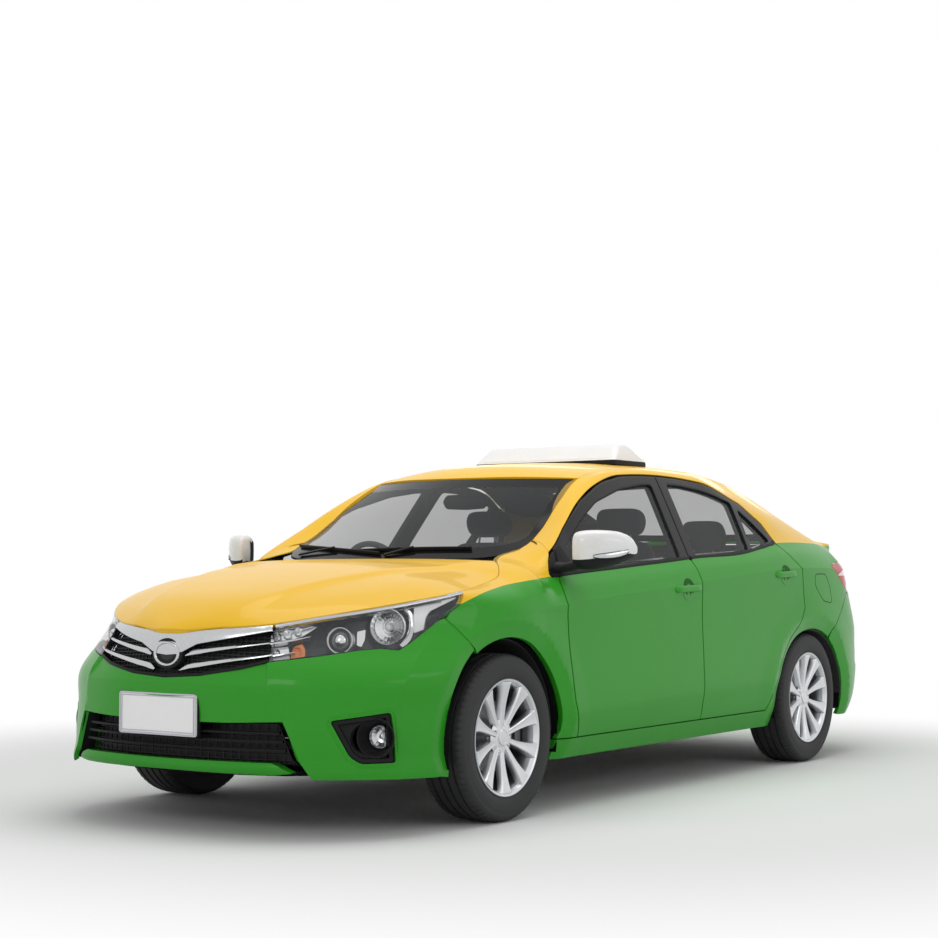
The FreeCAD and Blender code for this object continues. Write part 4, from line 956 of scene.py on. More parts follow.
# %% Windscreen, rear window and side glass
def window_glass(name, tint, cover):
    """Tinted glass: a thin dark pane that lets most of the light through and shines on both faces."""
    glass = Finish(name, tint, 0.03, Specular_IOR_Level=0.6)
    film = glass.noise(4.0, 3.0)
    glass.feed("Alpha", film * 0.04 + cover)
    glass.feed("Roughness", film * 0.03 + 0.01)
    glass.feed("Base Color", glass.mix(film, (*tint, 1), (*(t * 1.3 for t in tint), 1)))
    return glass.material


GLASS = window_glass("window_glass", (0.030, 0.034, 0.036), 0.40)
FRIT = moulding("glass_edge_print", (0.006, 0.006, 0.007), 0.12, 300.0, 0.000005, IOR=1.2)


def pane_form(centre, bow, half):
    """Bowed pane over its front view, (y, z), from tables against height."""
    def form(spots):
        y, z = spots[:, 0], spots[:, 1]
        x = read_table(centre, z)[:, 0] - read_table(bow, z)[:, 0] * (y / read_table(half, z)[:, 0]) ** 2
        return np.column_stack([x, y, z])
    return form


screen_form = pane_form([(985, 1106), (1100, 918), (1250, 668), (1400, 400)],
                        [(985, 140), (1034, 155), (1112, 186), (1229, 180), (1339, 186), (1400, 186)],
                        [(985, 610), (1034, 600), (1112, 588), (1229, 570), (1339, 545), (1400, 535)])
screen_side = [(250, 990), (420, 993), (486, 996), (539, 1004), (566, 1013), (593, 1028), (605, 1046), (605, 1066),
               (597, 1100), (583, 1168), (568, 1232), (552, 1298), (543, 1338)]
screen_top = [(y, 1347 - 3 * (y / 539) ** 2) for y in range(520, 0, -40)]
rear_form = pane_form([(1095, -1935), (1193, -1765), (1271, -1560), (1362, -1285), (1400, -1190)],
                      [(1095, -30), (1193, -70), (1271, -100), (1362, -150), (1400, -130)],
                      [(1095, 590), (1193, 572), (1271, 560), (1362, 545), (1400, 540)])
rear_side = [(300, 1106), (500, 1112), (568, 1124), (562, 1193), (552, 1271), (536, 1346)]
rear_top = [(y, 1400 - 52 * (y / 536) ** 2) for y in range(520, 0, -40)]


def glaze(form, side, top, bottom_z, facing, print_widths):
    """A pane with its printed band. The widths are at the bottom, the side and the top."""
    half = [(0, bottom_z)] + side + top + [(0, top[-1][1] + 1)]
    outline = rounded(half + [(-y, z) for y, z in reversed(half[1:-1])], 30)
    low, beside, high = print_widths
    clear = [(y * (1 - beside / 560), low + z + (z - side[0][1]) * (-high - low) / (half[-1][1] - side[0][1]))
             for y, z in outline]
    clear_loop = np.array(clear)
    return Pressing().sheet(form, outline, step=24, into=DOWNWARD, facing=facing, depth=4, rim=3, roll=2,
                            lines=[clear + clear[:1]], split=lambda spots: ~is_inside(spots, clear_loop), offset=-1)


windscreen = glaze(screen_form, screen_side, screen_top, 990, (1, 0, 1), (46, 30, 42))
windscreen.build("windscreen_pane", [GLASS, FRIT], "body", "window_glass", ["windscreen"])
rear_window = glaze(rear_form, rear_side, rear_top, 1105, (-1, 0, 1), (30, 30, 34))
rear_window.build("rear_window_pane", [GLASS, FRIT], "body", "window_glass", ["rear_window"])
for place, windows in (("front", [FRONT_WINDOW]), ("rear", [REAR_WINDOW, QUARTER_WINDOW])):
    panes = Pressing()
    for window in windows:
        panes.sheet(side_form, on_side(rounded(grown(window, 9), 26), 14), step=40, depth=4, offset=-12)
    panes.build_both(place + "_door_pane_%", [GLASS], place + "_door_%", "window_glass", [place + "_glass_%"])
print(MADE[-4:])

# %% [markdown]
# ## Strips, bars and turned pieces
# Chrome bars, seams, rubbers and rims are all a small section carried along a line. Lamp bowls, bezels
# and wheels are a profile turned about an axle. Both are rows of rings, joined one to the next.

# %% Rings joined into bars and bowls
def join_rings(piece, rings, mark=0, closed=False, capped=False, wrap=True, flat=False):
    """Add the surface through rings of places; wrap closes each ring, closed joins the last to the first."""
    rings = np.asarray(rings, float)
    rows, count = rings.shape[:2]
    index = np.arange(rows * count).reshape(rows, count)
    faces = []
    for i in range(rows if closed else rows - 1):
        for j in range(count if wrap else count - 1):
            k, m = (i + 1) % rows, (j + 1) % count
            faces.append([index[i, j], index[i, m], index[k, m], index[k, j]])
    if capped:
        faces += [list(index[0][::-1]), list(index[-1])]
    points = rings.reshape(-1, 3)
    if callable(mark):
        mark = list(mark(np.array([points[face].mean(0) for face in faces])))
    middle = points.mean(0)
    outward = sum(float(np.dot(np.cross(points[f[1]] - points[f[0]], points[f[2]] - points[f[1]]),
                               points[f].mean(0) - middle))
                  for f in faces)
    if outward < 0:
        faces = [face[::-1] for face in faces]
    if flat:
        points = points[[i for face in faces for i in face]]
        faces = [[4 * n + i for i in range(4)] for n in range(len(faces))]
    piece.add(points, faces, None, mark)
    return piece


def bead(piece, points, normals, section, mark=0, closed=False, capped=True):
    """A section of (across, outward) places carried along a line that lies on a form."""
    points, normals = np.asarray(points, float), np.asarray(normals, float)
    along = np.roll(points, -1, 0) - np.roll(points, 1, 0) if closed else np.gradient(points, axis=0)
    across = unit(np.cross(normals, unit(along)))
    section = np.asarray(section, float)
    if section.ndim == 2:
        section = np.repeat(section[None], len(points), 0)
    rings = points[:, None] + across[:, None] * section[..., :1] + normals[:, None] * section[..., 1:]
    return join_rings(piece, rings, mark, closed, capped and not closed)


def bead_on(piece, form, line, section, facing=OUTWARD, mark=0, offset=0.0, closed=False, step=12):
    """A bead along flat places of a form."""
    flat = walk(line, step) if closed else np.array(dense(line, step), float)
    normals = form_normals(form, flat, facing)
    return bead(piece, form(flat) + offset * normals, normals, section, mark, closed)


def oval(width, height, count=8):
    """Rounded section of a bead."""
    turns = np.arange(count) * 2 * math.pi / count
    return [(width / 2 * math.cos(t), height / 2 * math.sin(t)) for t in turns]


def tapered(halves, shape):
    """Section of a bead whose half-width changes along it; the shape is (share of it, outward) places."""
    return np.stack([np.stack([halves * a, np.full(len(halves), float(out))], -1) for a, out in shape], 1)


def all_round(step):
    """Angles of a full turn, a step in degrees apart."""
    return np.radians(np.arange(0, 360, step))


def corner_ring(low, high, z, radius, inset, count):
    """Level ring round a rectangle with round corners, drawn in by an inset."""
    ring = []
    for x, y, start in ((high[0] - radius, high[1] - radius, 0), (low[0] + radius, high[1] - radius, 90),
                        (low[0] + radius, low[1] + radius, 180), (high[0] - radius, low[1] + radius, 270)):
        for turn in np.radians(np.linspace(start, start + 90, count)):
            ring.append([x + (radius - inset) * math.cos(turn), y + (radius - inset) * math.sin(turn), z])
    return ring


def turned(piece, profile, centre, axis, steps=40, mark=0, flat=False, stretch=(1, 1), part=1.0):
    """Turn a profile of (radius, height) about an axis. The stretch makes it oval."""
    axis = unit(np.array(axis, float))
    side = unit(np.cross([0, 0, 1.0], axis)) if abs(axis[2]) < 0.9 else np.array([1.0, 0, 0])
    up = np.cross(axis, side)
    turns = np.arange(steps + (part < 1)) * 2 * math.pi * part / steps
    spokes = stretch[0] * np.cos(turns)[:, None] * side + stretch[1] * np.sin(turns)[:, None] * up
    profile = np.array(profile, float)
    rings = np.array(centre) + spokes[:, None] * profile[None, :, :1] + axis * profile[None, :, 1:]
    return join_rings(piece, rings, mark, part == 1, False, False, flat)


def metal(name, colour, roughness, streaks=0.06, scale=60.0):
    """Plated or polished metal, a little uneven."""
    finish = Finish(name, colour, roughness, Metallic=1.0)
    veil = finish.noise(scale, 3.0, 0.6)
    darker = tuple(c * 0.86 for c in colour)
    finish.feed("Base Color", finish.mix(veil, (*colour, 1), (*darker, 1)))
    finish.feed("Roughness", veil * streaks + (roughness - streaks / 2))
    finish.relief(finish.noise(scale * 4, 2.0), 0.00001, 0.4)
    return finish.material


CHROME = metal("chrome", (0.56, 0.57, 0.58), 0.2)
REFLECTOR = metal("lamp_reflector", (0.74, 0.75, 0.76), 0.16, 0.1, 300.0)
LAMP_BLACK = moulding("lamp_black", (0.010, 0.010, 0.011), 0.2, 400.0, 0.00001)
LIGHT_GUIDE = moulding("light_guide", (0.80, 0.82, 0.84), 0.25, 120.0, 0.00001, Coat_Weight=0.5)
AMBER = moulding("amber_lens", (0.80, 0.22, 0.010), 0.18, 150.0, 0.0002, Coat_Weight=0.8)
MESH_BLACK = moulding("grille_mesh", (0.006, 0.006, 0.006), 0.6)


def clear_cover(name, tint, cover):
    """Clear polycarbonate over a lamp: almost only its shine is seen."""
    clear = Finish(name, tint, 0.03, Coat_Weight=0.3, Coat_Roughness=0.02)
    film = clear.noise(12.0, 2.0)
    # painted reflection: towards grazing angles the cover turns more opaque in its pale grey tint
    clear.feed("Alpha", film * 0.03 + clear.node("LayerWeight", {}, 0.35, out=1) * 0.3 + cover)
    clear.feed("Roughness", film * 0.04 + 0.01)
    clear.feed("Base Color", clear.mix(film, (*tint, 1), (*(0.9 * t for t in tint), 1)))
    return clear.material


CLEAR = clear_cover("lamp_cover", (0.55, 0.57, 0.60), 0.07)
print(len(FINISHES), "finishes with the lamps' own")

# %% [markdown]
# ## Front bumper
# The bumper is one moulding round the nose. Its middle is brought forward to a soft ridge under the
# grille, its outer parts stand proud of the mouth along a sharp crease, and a second crease marks the
# corner of the car. These are small swells, added to the plain nose form along their own lines.

# %% Bumper form and its pressing
MIDDLE_SWELL = [(200, 0), (228, 4), (275, 0), (404, -5), (470, -2), (520, 7), (538, 9), (560, 4), (620, -9), (700, -12)]
OUTER_SWELL = [(190, 13), (212, 15), (230, 12), (292, -4), (400, -7), (428, -9), (440, -9), (540, 7), (575, 10),
               (600, 8), (660, -3), (780, -4)]
INNER_CREASE = [(2224, 416, 602), (2238, 435, 550), (2229, 489, 417), (2200, 549, 278), (2168, 572, 218)]
CORNER_CREASE = [(1755, 784, 693), (1853, 777, 607), (1919, 774, 521), (1937, 773, 445), (1930, 776, 346),
                 (1911, 765, 200)]


def crease_line(places):
    """A crease as a table of height and way round."""
    return sorted((z, nose_place(x, y, z)[0]) for x, y, z in places)


inner_crease, corner_crease = crease_line(INNER_CREASE), crease_line(CORNER_CREASE)


def nose_form(spots):
    return end_point(NOSE, spots[:, 0], spots[:, 1])


def bumper_form(spots):
    point = nose_form(spots)
    girth, z = abs(spots[:, 0]), spots[:, 1]
    reach, along, across, width = np.moveaxis(read_table(NOSE_PLAN, z), -1, 0)
    long = reach - NOSE_START
    ahead = along * np.clip((point[:, 0] - NOSE_START) / long, 0.001, 1) ** (along - 1) / long
    beside = across * (abs(point[:, 1]) / width) ** (across - 1) / width
    outward = unit(np.column_stack([ahead, beside * np.sign(point[:, 1]), np.zeros(len(z))]))
    inner, corner = (read_table(line, z)[:, 0] for line in (inner_crease, corner_crease))
    past = soft_step(inner - 5, inner + 5, girth)
    swell = (1 - past) * read_table(MIDDLE_SWELL, z)[:, 0] + past * read_table(OUTER_SWELL, z)[:, 0] * (
        1 - 0.75 * soft_step(corner + 60, corner + 330, girth))
    swell += 6 * np.exp(-abs(girth - inner) / 38) * soft_step(640, 590, z)
    swell += 8 * np.exp(-abs(girth - corner) / 60) * soft_step(730, 640, z)
    point += outward * swell[:, None]
    point[:, 1] += arch_swell(point[:, 0], z) * np.sign(point[:, 1])
    return point


def mirror_line(half):
    """A flat outline from its left half, which runs from the middle line and back to it."""
    return half + [(-girth, z) for girth, z in reversed(half) if girth > 0.5]


LAMP_LOW = [(2214, 416, 623), (2174, 480, 631), (2107, 560, 643), (1997, 653, 662), (1936, 696, 667), (1876, 739, 660),
            (1841, 749, 677), (1786, 761, 708), (1693, 785, 764), (1650, 800, 789), (1599, 811, 821)]
LAMP_HIGH = [(2148, 392, 758), (2096, 460, 772), (2049, 512, 784), (1942, 609, 805), (1812, 693, 829), (1657, 763, 858),
             (1561, 796, 876)]
ARCH_FRONT = [(198, 1697), (332, 1706), (475, 1690), (582, 1643), (631, 1589), (655, 1558)]


def nose_line(places):
    """Places of the nose in space, as (way round, height)."""
    return [nose_place(*place) for place in places]


def arch_of_bumper():
    """The bumper's edge at the wheel opening, from the bottom upwards."""
    places = [(float(read_table(ARCH_FRONT, z)[0]), z) for z in np.arange(198, 656, 18.2)]
    return [nose_place(x, float(end_half_width(NOSE, x, z)), z) for x, z in places]


grille_low = nose_line([(2303, 0, 560), (2296, 164, 570), (2261, 323, 597), (2214, 416, 623)])
bumper_top = grille_low + nose_line(LAMP_LOW[1:9]) + nose_line([(1671, 794, 771), (1636, 816, 738), (1605, 838, 697),
                                                               (1590, 846, 682)])
mouth_side = nose_line([(2172, 574, 225), (2200, 549, 278), (2228, 492, 416), (2286, 291, 408)])
bumper_arch, mouth_end = arch_of_bumper(), mouth_side[0][0]
bumper_low = [(g, 215 - 17 * (g - mouth_end) / 700) for g in np.arange(mouth_end + 10, bumper_arch[0][0] - 12, 40)]
bumper_half = bumper_top + bumper_arch[::-1] + bumper_low[::-1] + mouth_side + [(0, 404)]
pocket = rounded(nose_line([(2136, 630, 419), (1955, 764, 444), (1939, 769, 268), (2053, 702, 268),
                            (2086, 679, 294)]), 14)
pockets = [pocket, [(-g, z) for g, z in pocket[::-1]]]
crease_lines = [[(side * (g + shift), z) for z, g in line] for line in (inner_crease, corner_crease)
                for side in (1, -1) for shift in (-5, 0, 5)]
level_lines = [dense([(-1100, z), (1100, z)], 16) for z in (432, 538)]
bumper = Pressing().sheet(bumper_form, mirror_line(bumper_half), pockets, step=15, into=None, facing=FORWARD,
                          lines=crease_lines + level_lines, depth=18)
for outline in pockets:
    bead_on(bumper, bumper_form, grown(outline, 11), oval(7, 4), FORWARD, closed=True)
lip_half = nose_line([(2312, 0, 230), (2281, 303, 229), (2237, 461, 229), (2211, 520, 236)]) + nose_line(
    [(2237, 481, 264), (2248, 455, 274), (2289, 306, 275), (2312, 0, 273)])


def lip_form(spots):
    point = nose_form(spots)
    point[:, 0] += 5 - 11 * ((spots[:, 1] - 250) / 24) ** 2
    return point


bumper.sheet(lip_form, mirror_line(lip_half), step=11, into=BACKWARD, facing=FORWARD, depth=36)
bumper.build("front_bumper_skin", [GREEN], "body", "green_paint", ["front_bumper"], crease=28)
print(MADE[-1])

# %% [markdown]
# ## Grilles, badge place and number plate
# The upper grille is a black mesh behind two chrome bars and a chrome V, with a plain oval in the
# middle where a badge would sit. The lower mouth has thin slats. The plate is blank.

# %% Grilles
def grille_panel(piece, half, offset, cell, mark):
    """Dark mesh behind a grille: a backing sheet with thin upright and level ribs."""
    outline = mirror_line(half)
    loop = np.array(outline)
    piece.sheet(nose_form, outline, step=45, into=BACKWARD, facing=FORWARD, depth=3, offset=offset - 12, mark=mark)
    low, high = loop.min(0), loop.max(0)
    level = [([(g, z) for g in np.arange(low[0], high[0], 8)], 1, 40) for z in np.arange(low[1] + cell, high[1], cell)]
    upright = [([(g, z) for z in np.arange(low[1], high[1], 4)], 0, 60)
               for g in np.arange(low[0] + cell, high[0], cell * 1.7)]
    for spots, top, step in level + upright:
        for run in runs_inside(np.array(spots), loop):
            rib = [(-1.4, -5), (1.4, -5), (1.4, top), (-1.4, top)]
            bead_on(piece, nose_form, run, rib, FORWARD, mark, offset, step=step)


def runs_inside(spots, loop):
    """Stretches of a straight row of places that lie inside a loop, each by its two ends."""
    inside = is_inside(spots, loop)
    runs, start = [], None
    for i, good in enumerate(list(inside) + [False]):
        if good and start is None:
            start = i
        if not good and start is not None:
            if i - start > 2:
                runs.append([tuple(spots[start]), tuple(spots[i - 1])])
            start = None
    return runs


hood_edge = nose_line([(2289, 0, 727), (2268, 138, 732), (2214, 280, 746), (2148, 392, 756)])
grille = Pressing()
grille_panel(grille, [(g, z + 3) for g, z in grille_low] + [(g, z - 8) for g, z in hood_edge[::-1]], -34, 13, 1)
vee = hood_edge + [(412, 757), (420, 730), (393, 726), (268, 704), (139, 682), (103, 666), (74, 652), (50, 644),
                   (0, 640)]


def vee_form(spots):
    point = nose_form(spots)
    top = np.interp(abs(spots[:, 0]), *np.array(hood_edge).T)
    low = np.interp(abs(spots[:, 0]), (0, 74, 140, 393, 420), (640, 652, 682, 726, 730))
    share = (spots[:, 1] - low) / (top - low)
    point[:, 0] += 4 - 12 * (share - 0.35) ** 2 - 16 * np.clip(share - 0.55, 0, 1)
    return point


grille.sheet(vee_form, mirror_line(vee), step=9, into=BACKWARD, facing=FORWARD, depth=24)
BARS = [
    # way round, height and thickness from the badge outwards
    [(86, 642, 8), (113, 652, 20), (154, 658, 19), (267, 674, 15), (399, 690, 12), (414, 692, 12)],
    [(63, 589, 6), (91, 600, 20), (153, 610, 19), (265, 627, 15), (414, 648, 12), (430, 651, 12)],
]


def nose_bar(piece, stations, count, shape, offset, mark, side=1):
    """A bar along the nose, through stations of way round, height and thickness."""
    girths = np.linspace(stations[0][0], stations[-1][0], count)
    heights, thick = read_table(stations, girths).T
    flat = np.column_stack([side * girths, heights])
    normals = form_normals(nose_form, flat, FORWARD)
    bead(piece, nose_form(flat) + offset * normals, normals, tapered(thick / 2 * side, shape), mark)


LEANING_FACE = [(1, -18), (1, -5), (0.8, -2.5), (-0.2, 1.5), (-0.85, 1), (-1, -1), (-1, -18)]
for bar in BARS:
    for side in (1, -1):
        nose_bar(grille, bar, 30, LEANING_FACE, -4, 0, side)
foot = [(g, z + 5) for g, z in grille_low]
foot = [(-g, z) for g, z in foot[:0:-1]] + foot
bead_on(grille, nose_form, foot, oval(12, 9), FORWARD, 2, -4)
BADGE = (2290, 0, 645), (1, 0, 0.02)
for width, height, mark in (((74, 56), 4, 2), ((63, 45), 9, 0)):
    inner = 0.80 if mark == 0 else 0.05
    turned(grille, [(1.0, -26), (1.0, height - 3), (0.97, height - 0.5), (0.92, height), (inner + 0.04, height),
                    (inner, height - 2), (inner, height - 8)], *BADGE, 64, mark, stretch=width)
turned(grille, [(1.0, 2), (0.6, 4), (0.02, 5)], *BADGE, 64, 1, stretch=(55, 39))
mouth = [(0, 236)] + nose_line([(2284, 304, 237), (2213, 517, 238), (2177, 570, 231), (2204, 544, 278),
                                (2230, 487, 412), (2286, 291, 405)]) + [(0, 401)]
narrow = [(g * 0.94, 240 + (z - 236) * 0.96) for g, z in mouth]
grille_panel(grille, narrow, -66, 21, 1)
ring_out, ring_in = (np.array(walk(mirror_line(line), 1e9)) for line in (mouth, narrow))
join_rings(grille, [nose_form(ring_out) - [6, 0, 0], nose_form(ring_out * [0.985, 1]) - [26, 0, 0],
                    nose_form(ring_in) - [74, 0, 0]], 2)
for z, reach in ((375, 470), (346, 482), (315, 494)):
    spots = [(g, z) for g in np.linspace(-reach, reach, 60)]
    bead_on(grille, nose_form, spots, [(-5, -26), (-4, -2), (0, 0), (4, -2), (5, -26)], FORWARD, 2, -24, step=40)
grille.build("grille_bars", [CHROME, MESH_BLACK, BLACK_TRIM, BLACK_GLOSS], "body", "black_plastic", ["grille"],
             crease=35)
print(MADE[-1])

# %% [markdown]
# ## Number plates
# A plate is a pressed sheet. A raised frame could be cut from solid, but two beads along its edge give the
# same rounded light. It carries no characters.

# %% Number plates
PLATE_HIGH = 152
PLATE_WHITE = moulding("plate_white", (0.92, 0.92, 0.92), 0.35, 80.0, 0.00002)
PLATE_FRAME = moulding("plate_frame", (0.52, 0.52, 0.56), 0.25, 80.0, 0.00002)


def box_line(low_y, high_y, low_z, high_z):
    return [(high_y, low_z), (high_y, high_z), (low_y, high_z), (low_y, low_z)]


def number_plate(name, face_x, low_y, high_y, low_z, facing, body, node):
    """Blank pressed plate in a raised pale frame, on a black backing."""
    plate = Pressing()
    face = lambda spots: np.column_stack([np.full(len(spots), face_x), spots])
    high_z = low_z + PLATE_HIGH
    box = rounded(box_line(low_y, high_y, low_z, high_z), 12)
    plate.sheet(face, box, step=30, into=(-facing, 0, 0), facing=(facing, 0, 0), depth=3, offset=-4)
    for inset, size, mark in ((3.5, 7, 1), (13, 3, 1)):
        bead_on(plate, face, grown(box, -inset), oval(size, 3.5), (facing, 0, 0), mark, -2.2, closed=True, step=14)
    backing = rounded(box_line(low_y - 2, high_y + 4, low_z - 3, high_z + 1), 12)
    plate.sheet(face, backing, step=60, into=(-facing, 0, 0), facing=(facing, 0, 0), depth=14, offset=-7, mark=2)
    plate.build(name, [PLATE_WHITE, PLATE_FRAME, BLACK_TRIM], body, "white_plastic", [node])


number_plate("front_plate_blank", 2309.5, -224, 158, 352, 1, "body", "front_plate")
number_plate("rear_plate_blank", -2289.5, -155, 155, 690, -1, "boot_lid", "rear_plate")

# %% [markdown]
# ## Headlamps
# Under one clear cover sit a chrome-ringed projector, a faceted bowl, a small reflector, the amber
# turn lamp with its clear cells, and a white light guide that runs out to the tip. All of them are
# placed on the nose form, each at its own depth behind the cover.

# %% Headlamps
lamp_outline = nose_line(LAMP_LOW + [(1564, 797, 872)] + LAMP_HIGH[::-1][1:])
lamp_hole = grown(lamp_outline, -4)
LAMP_AXIS, LAMP_BACK = unit(np.array([1.0, 0.42, 0.02])), (-1, -0.4, 0)


def lamp_place(girth, z, back):
    spot = np.array([[girth, z]], float)
    return (nose_form(spot) - back * form_normals(nose_form, spot, FORWARD))[0]


lamp = Pressing()
lamp.sheet(nose_form, lamp_hole, step=30, into=LAMP_BACK, facing=FORWARD, depth=4, offset=-96, mark=0)
rim_flat = walk(lamp_hole, 12)
rim_normal = form_normals(nose_form, rim_flat, FORWARD)
join_rings(lamp, [nose_form(rim_flat) - 3 * rim_normal, nose_form(rim_flat) - 97 * rim_normal], 0)
top_line = [(g, z - 9) for g, z in nose_line(LAMP_HIGH)]
bead_on(lamp, nose_form, top_line, [(-7, -12), (-6.5, -1), (-2, 1.5), (4, 0.5), (6.5, -3), (7, -12)], FORWARD, 1, -2)
bead_on(lamp, nose_form, [(g, z - 14) for g, z in top_line[:-1]], oval(4, 12), FORWARD, 1, -12)
for stations in ([(399, 690, 12), (447, 697, 12), (506, 707, 9), (552, 716, 3)],
                 [(414, 648, 12), (456, 654, 9), (505, 662, 3)]):
    nose_bar(lamp, stations, 12, [(1, -30), (1, -5), (0, 1), (-1, 0), (-1, -30)], -10, 1)
for outline, depth, mark in (
    ([(408, 700), (404, 742), (437, 750), (525, 762), (574, 756), (525, 728), (477, 712)], -34, 2),
    ([(418, 634), (416, 686), (477, 694), (486, 660), (489, 646)], -34, 2),
    ([(489, 646), (496, 690), (525, 700), (537, 680), (540, 654)], -28, 3),
    ([(714, 700), (716, 744), (749, 750), (745, 716), (732, 692)], -40, 2),
    ([(914, 724), (953, 735), (962, 775), (977, 801), (1022, 822), (1090, 850), (1088, 854), (1022, 840),
      (917, 816)], -13, 4),
):
    lamp.sheet(nose_form, rounded(outline, 5, 2), step=9 if mark in (2, 3) else 14, into=LAMP_BACK, facing=FORWARD,
               depth=14, offset=depth, mark=mark)
for g, z, radius in ((432, 722, 17), (469, 730, 17), (506, 738, 15), (437, 664, 18), (511, 672, 17)):
    bowl = [(radius, 6), (radius * 0.9, 0), (radius * 0.5, -10), (1, -13)]
    turned(lamp, bowl, lamp_place(g, z, 26), LAMP_AXIS, 12, 3 if g == 511 else 2, True)
projector, bowl_place = lamp_place(656, 712, 34), lamp_place(827, 752, 34)
for place, profile, steps, mark, faceted in (
    (projector, [(50, -22), (50, 2), (48.5, 5), (46, 6), (42, 4), (40, -4)], 48, 1, False),
    (projector, [(41, 2), (36, -10), (31, -12)], 48, 0, False),
    (projector, [(32, -14), (31, -6), (29, -4), (27, -6)], 48, 1, False),
    (projector, [(28, -8), (26, 0), (20, 8), (11, 13), (0.5, 15)], 36, 2, False),
    (bowl_place, [(66, 4), (63, 0), (52, -14), (38, -24), (24, -31), (12, -35)], 22, 2, True),
    (bowl_place, [(67, -6), (67, 5), (64, 7), (62, 4)], 48, 1, False),
    (bowl_place, [(13, -34), (13, -14), (9, -8), (0.5, -7)], 24, 1, False),
):
    turned(lamp, profile, place, LAMP_AXIS, steps, mark, faceted)
BAND = [(877, 690, 40), (901, 718, 24), (911, 752, 20), (907, 786, 22), (889, 816, 30)]
band = [lamp_place(*place) for place in BAND]
fine = np.array([read_table([(i, *p) for i, p in enumerate(band)], t) for t in np.linspace(0, 4, 20)])
bead(lamp, fine, np.repeat(LAMP_AXIS[None], 20, 0), [(-11, -14), (-10, 2), (0, 5), (10, 2), (11, -14)], mark=1)
lamp.build_both("headlamp_%", [LAMP_BLACK, CHROME, REFLECTOR, AMBER, LIGHT_GUIDE], "body", "lamp_clear", ["headlamps"])
cover = Pressing().sheet(nose_form, lamp_outline, step=26, into=LAMP_BACK, facing=FORWARD, depth=5, offset=-0.5)
cover.build_both("headlamp_cover_%", [CLEAR], "body", "lamp_clear", ["headlamps"])
print(MADE[-4:])

# %% [markdown]
# ## Fog lamps
# Each lies in a black three-cornered insert, at the end of a short round funnel.

# %% Fog lamps
FOG_AXIS, FOG_BACK = unit(np.array([1.0, 0.30, 0.0])), (-1, -0.3, 0)
fog = Pressing()
insert = grown(pocket, -2)
deep = grown(pocket, -17)
FUNNEL_GIRTH, FUNNEL_Z = 766, 356
funnel_place = nose_form(np.array([[FUNNEL_GIRTH, FUNNEL_Z]], float))[0] - 22 * FOG_AXIS
mouth_ring = [(FUNNEL_GIRTH + 66 * math.cos(t), FUNNEL_Z + 59 * math.sin(t)) for t in all_round(12)]
fog.sheet(bumper_form, insert, [deep], step=12, into=FOG_BACK, facing=FORWARD, depth=10, offset=-8)
fog.sheet(bumper_form, deep, [mouth_ring], step=12, into=FOG_BACK, facing=FORWARD, depth=26, offset=-22)
for profile, steps, mark, faceted in (
    ([(72, 2), (71, 6), (66, 4), (62, -8), (52, -30), (44, -44)], 48, 0, False),
    ([(45, -46), (44, -40), (42, -39), (40, -42)], 48, 0, False),
    ([(41, -42), (36, -52), (22, -62), (8, -66)], 16, 1, True),
    ([(9, -66), (8, -54), (1, -51)], 16, 2, False),
    ([(41, -41), (36, -34), (24, -28), (1, -25)], 40, 3, False),
):
    turned(fog, profile, funnel_place, FOG_AXIS, steps, mark, faceted)
fog.build_both("fog_lamp_%", [BLACK_TRIM, REFLECTOR, CHROME, CLEAR], "body", "black_plastic")
print(MADE[-2:])

# %% [markdown]
# ## Wheels and tyres
# The rim is a turned profile, and ten spokes flare from the hub to its lip. Each spoke is a bar
# whose face widens outward and whose flanks slope back, so that dark gaps are left between them. The hub
# plate has five round wells with a nut in each. The tyre is turned too, and the edge of its tread is cut by fine
# grooves all the way round.

# %% Wheels and tyres
def placed(piece, place, side):
    """A wheel modelled about its own middle, faced outward, at a place on the car."""
    made = piece if side > 0 else piece.mirrored()
    other = Pressing()
    other.points = [tuple(np.array(p) + place) for p in made.points]
    other.normals, other.faces, other.marks = made.normals, made.faces, made.marks
    return other


ALLOY = metal("wheel_alloy", (0.70, 0.71, 0.73), 0.30, 0.12, 40.0)
ALLOY_DEEP = metal("wheel_barrel", (0.34, 0.35, 0.37), 0.42, 0.12, 30.0)
STEEL = metal("turned_steel", (0.42, 0.42, 0.43), 0.33, 0.2, 120.0)


def rubber(name, colour):
    """Tyre rubber: nearly black, with pale dust that lies thicker in patches."""
    tyre = Finish(name, colour, 0.75)
    dust = tyre.noise(14.0, 4.0, 0.6).ramp(0.45, 0.8)
    tyre.feed("Base Color", tyre.mix(dust * 0.5, (*colour, 1), (0.040, 0.040, 0.042, 1)))
    tyre.feed("Roughness", dust * 0.1 + 0.66)
    tyre.relief(tyre.noise(260.0, 3.0, 0.6), 0.00015, 0.5)
    return tyre.material


RUBBER = rubber("tyre_rubber", (0.016, 0.016, 0.017))
SPOKE_STATIONS = [
    # radius, half-width of the face, half-width of the foot, height of the face, height of the foot
    (38, 8, 15, 71, 52), (60, 8.5, 16, 73, 50), (90, 9.5, 17, 76, 50), (130, 12.5, 19, 81, 54), (165, 17, 23, 87, 60),
    (192, 22.5, 30, 92, 66), (206, 27, 38, 94.5, 74),
]
MIDDLE = (0, 0, 0)
wheel = Pressing()
turned(wheel, [(198, -92), (221.5, -94), (221.5, -88), (204, -82), (197, -60), (195, 40), (197, 62), (203, 76),
               (208, 86), (213, 91), (216.5, 95.5), (219, 97), (221.5, 95.5), (221.5, 88)], MIDDLE, OUTWARD, 96, 1)
turned(wheel, [(203, 79), (208, 89), (211, 93.5), (215, 96), (218.5, 97), (221.5, 95),
               (221.8, 89)], MIDDLE, OUTWARD, 96, 0)
radii = np.concatenate([np.linspace(38, 192, 14), [199, 206, 209]])
stations = read_table(SPOKE_STATIONS, radii)
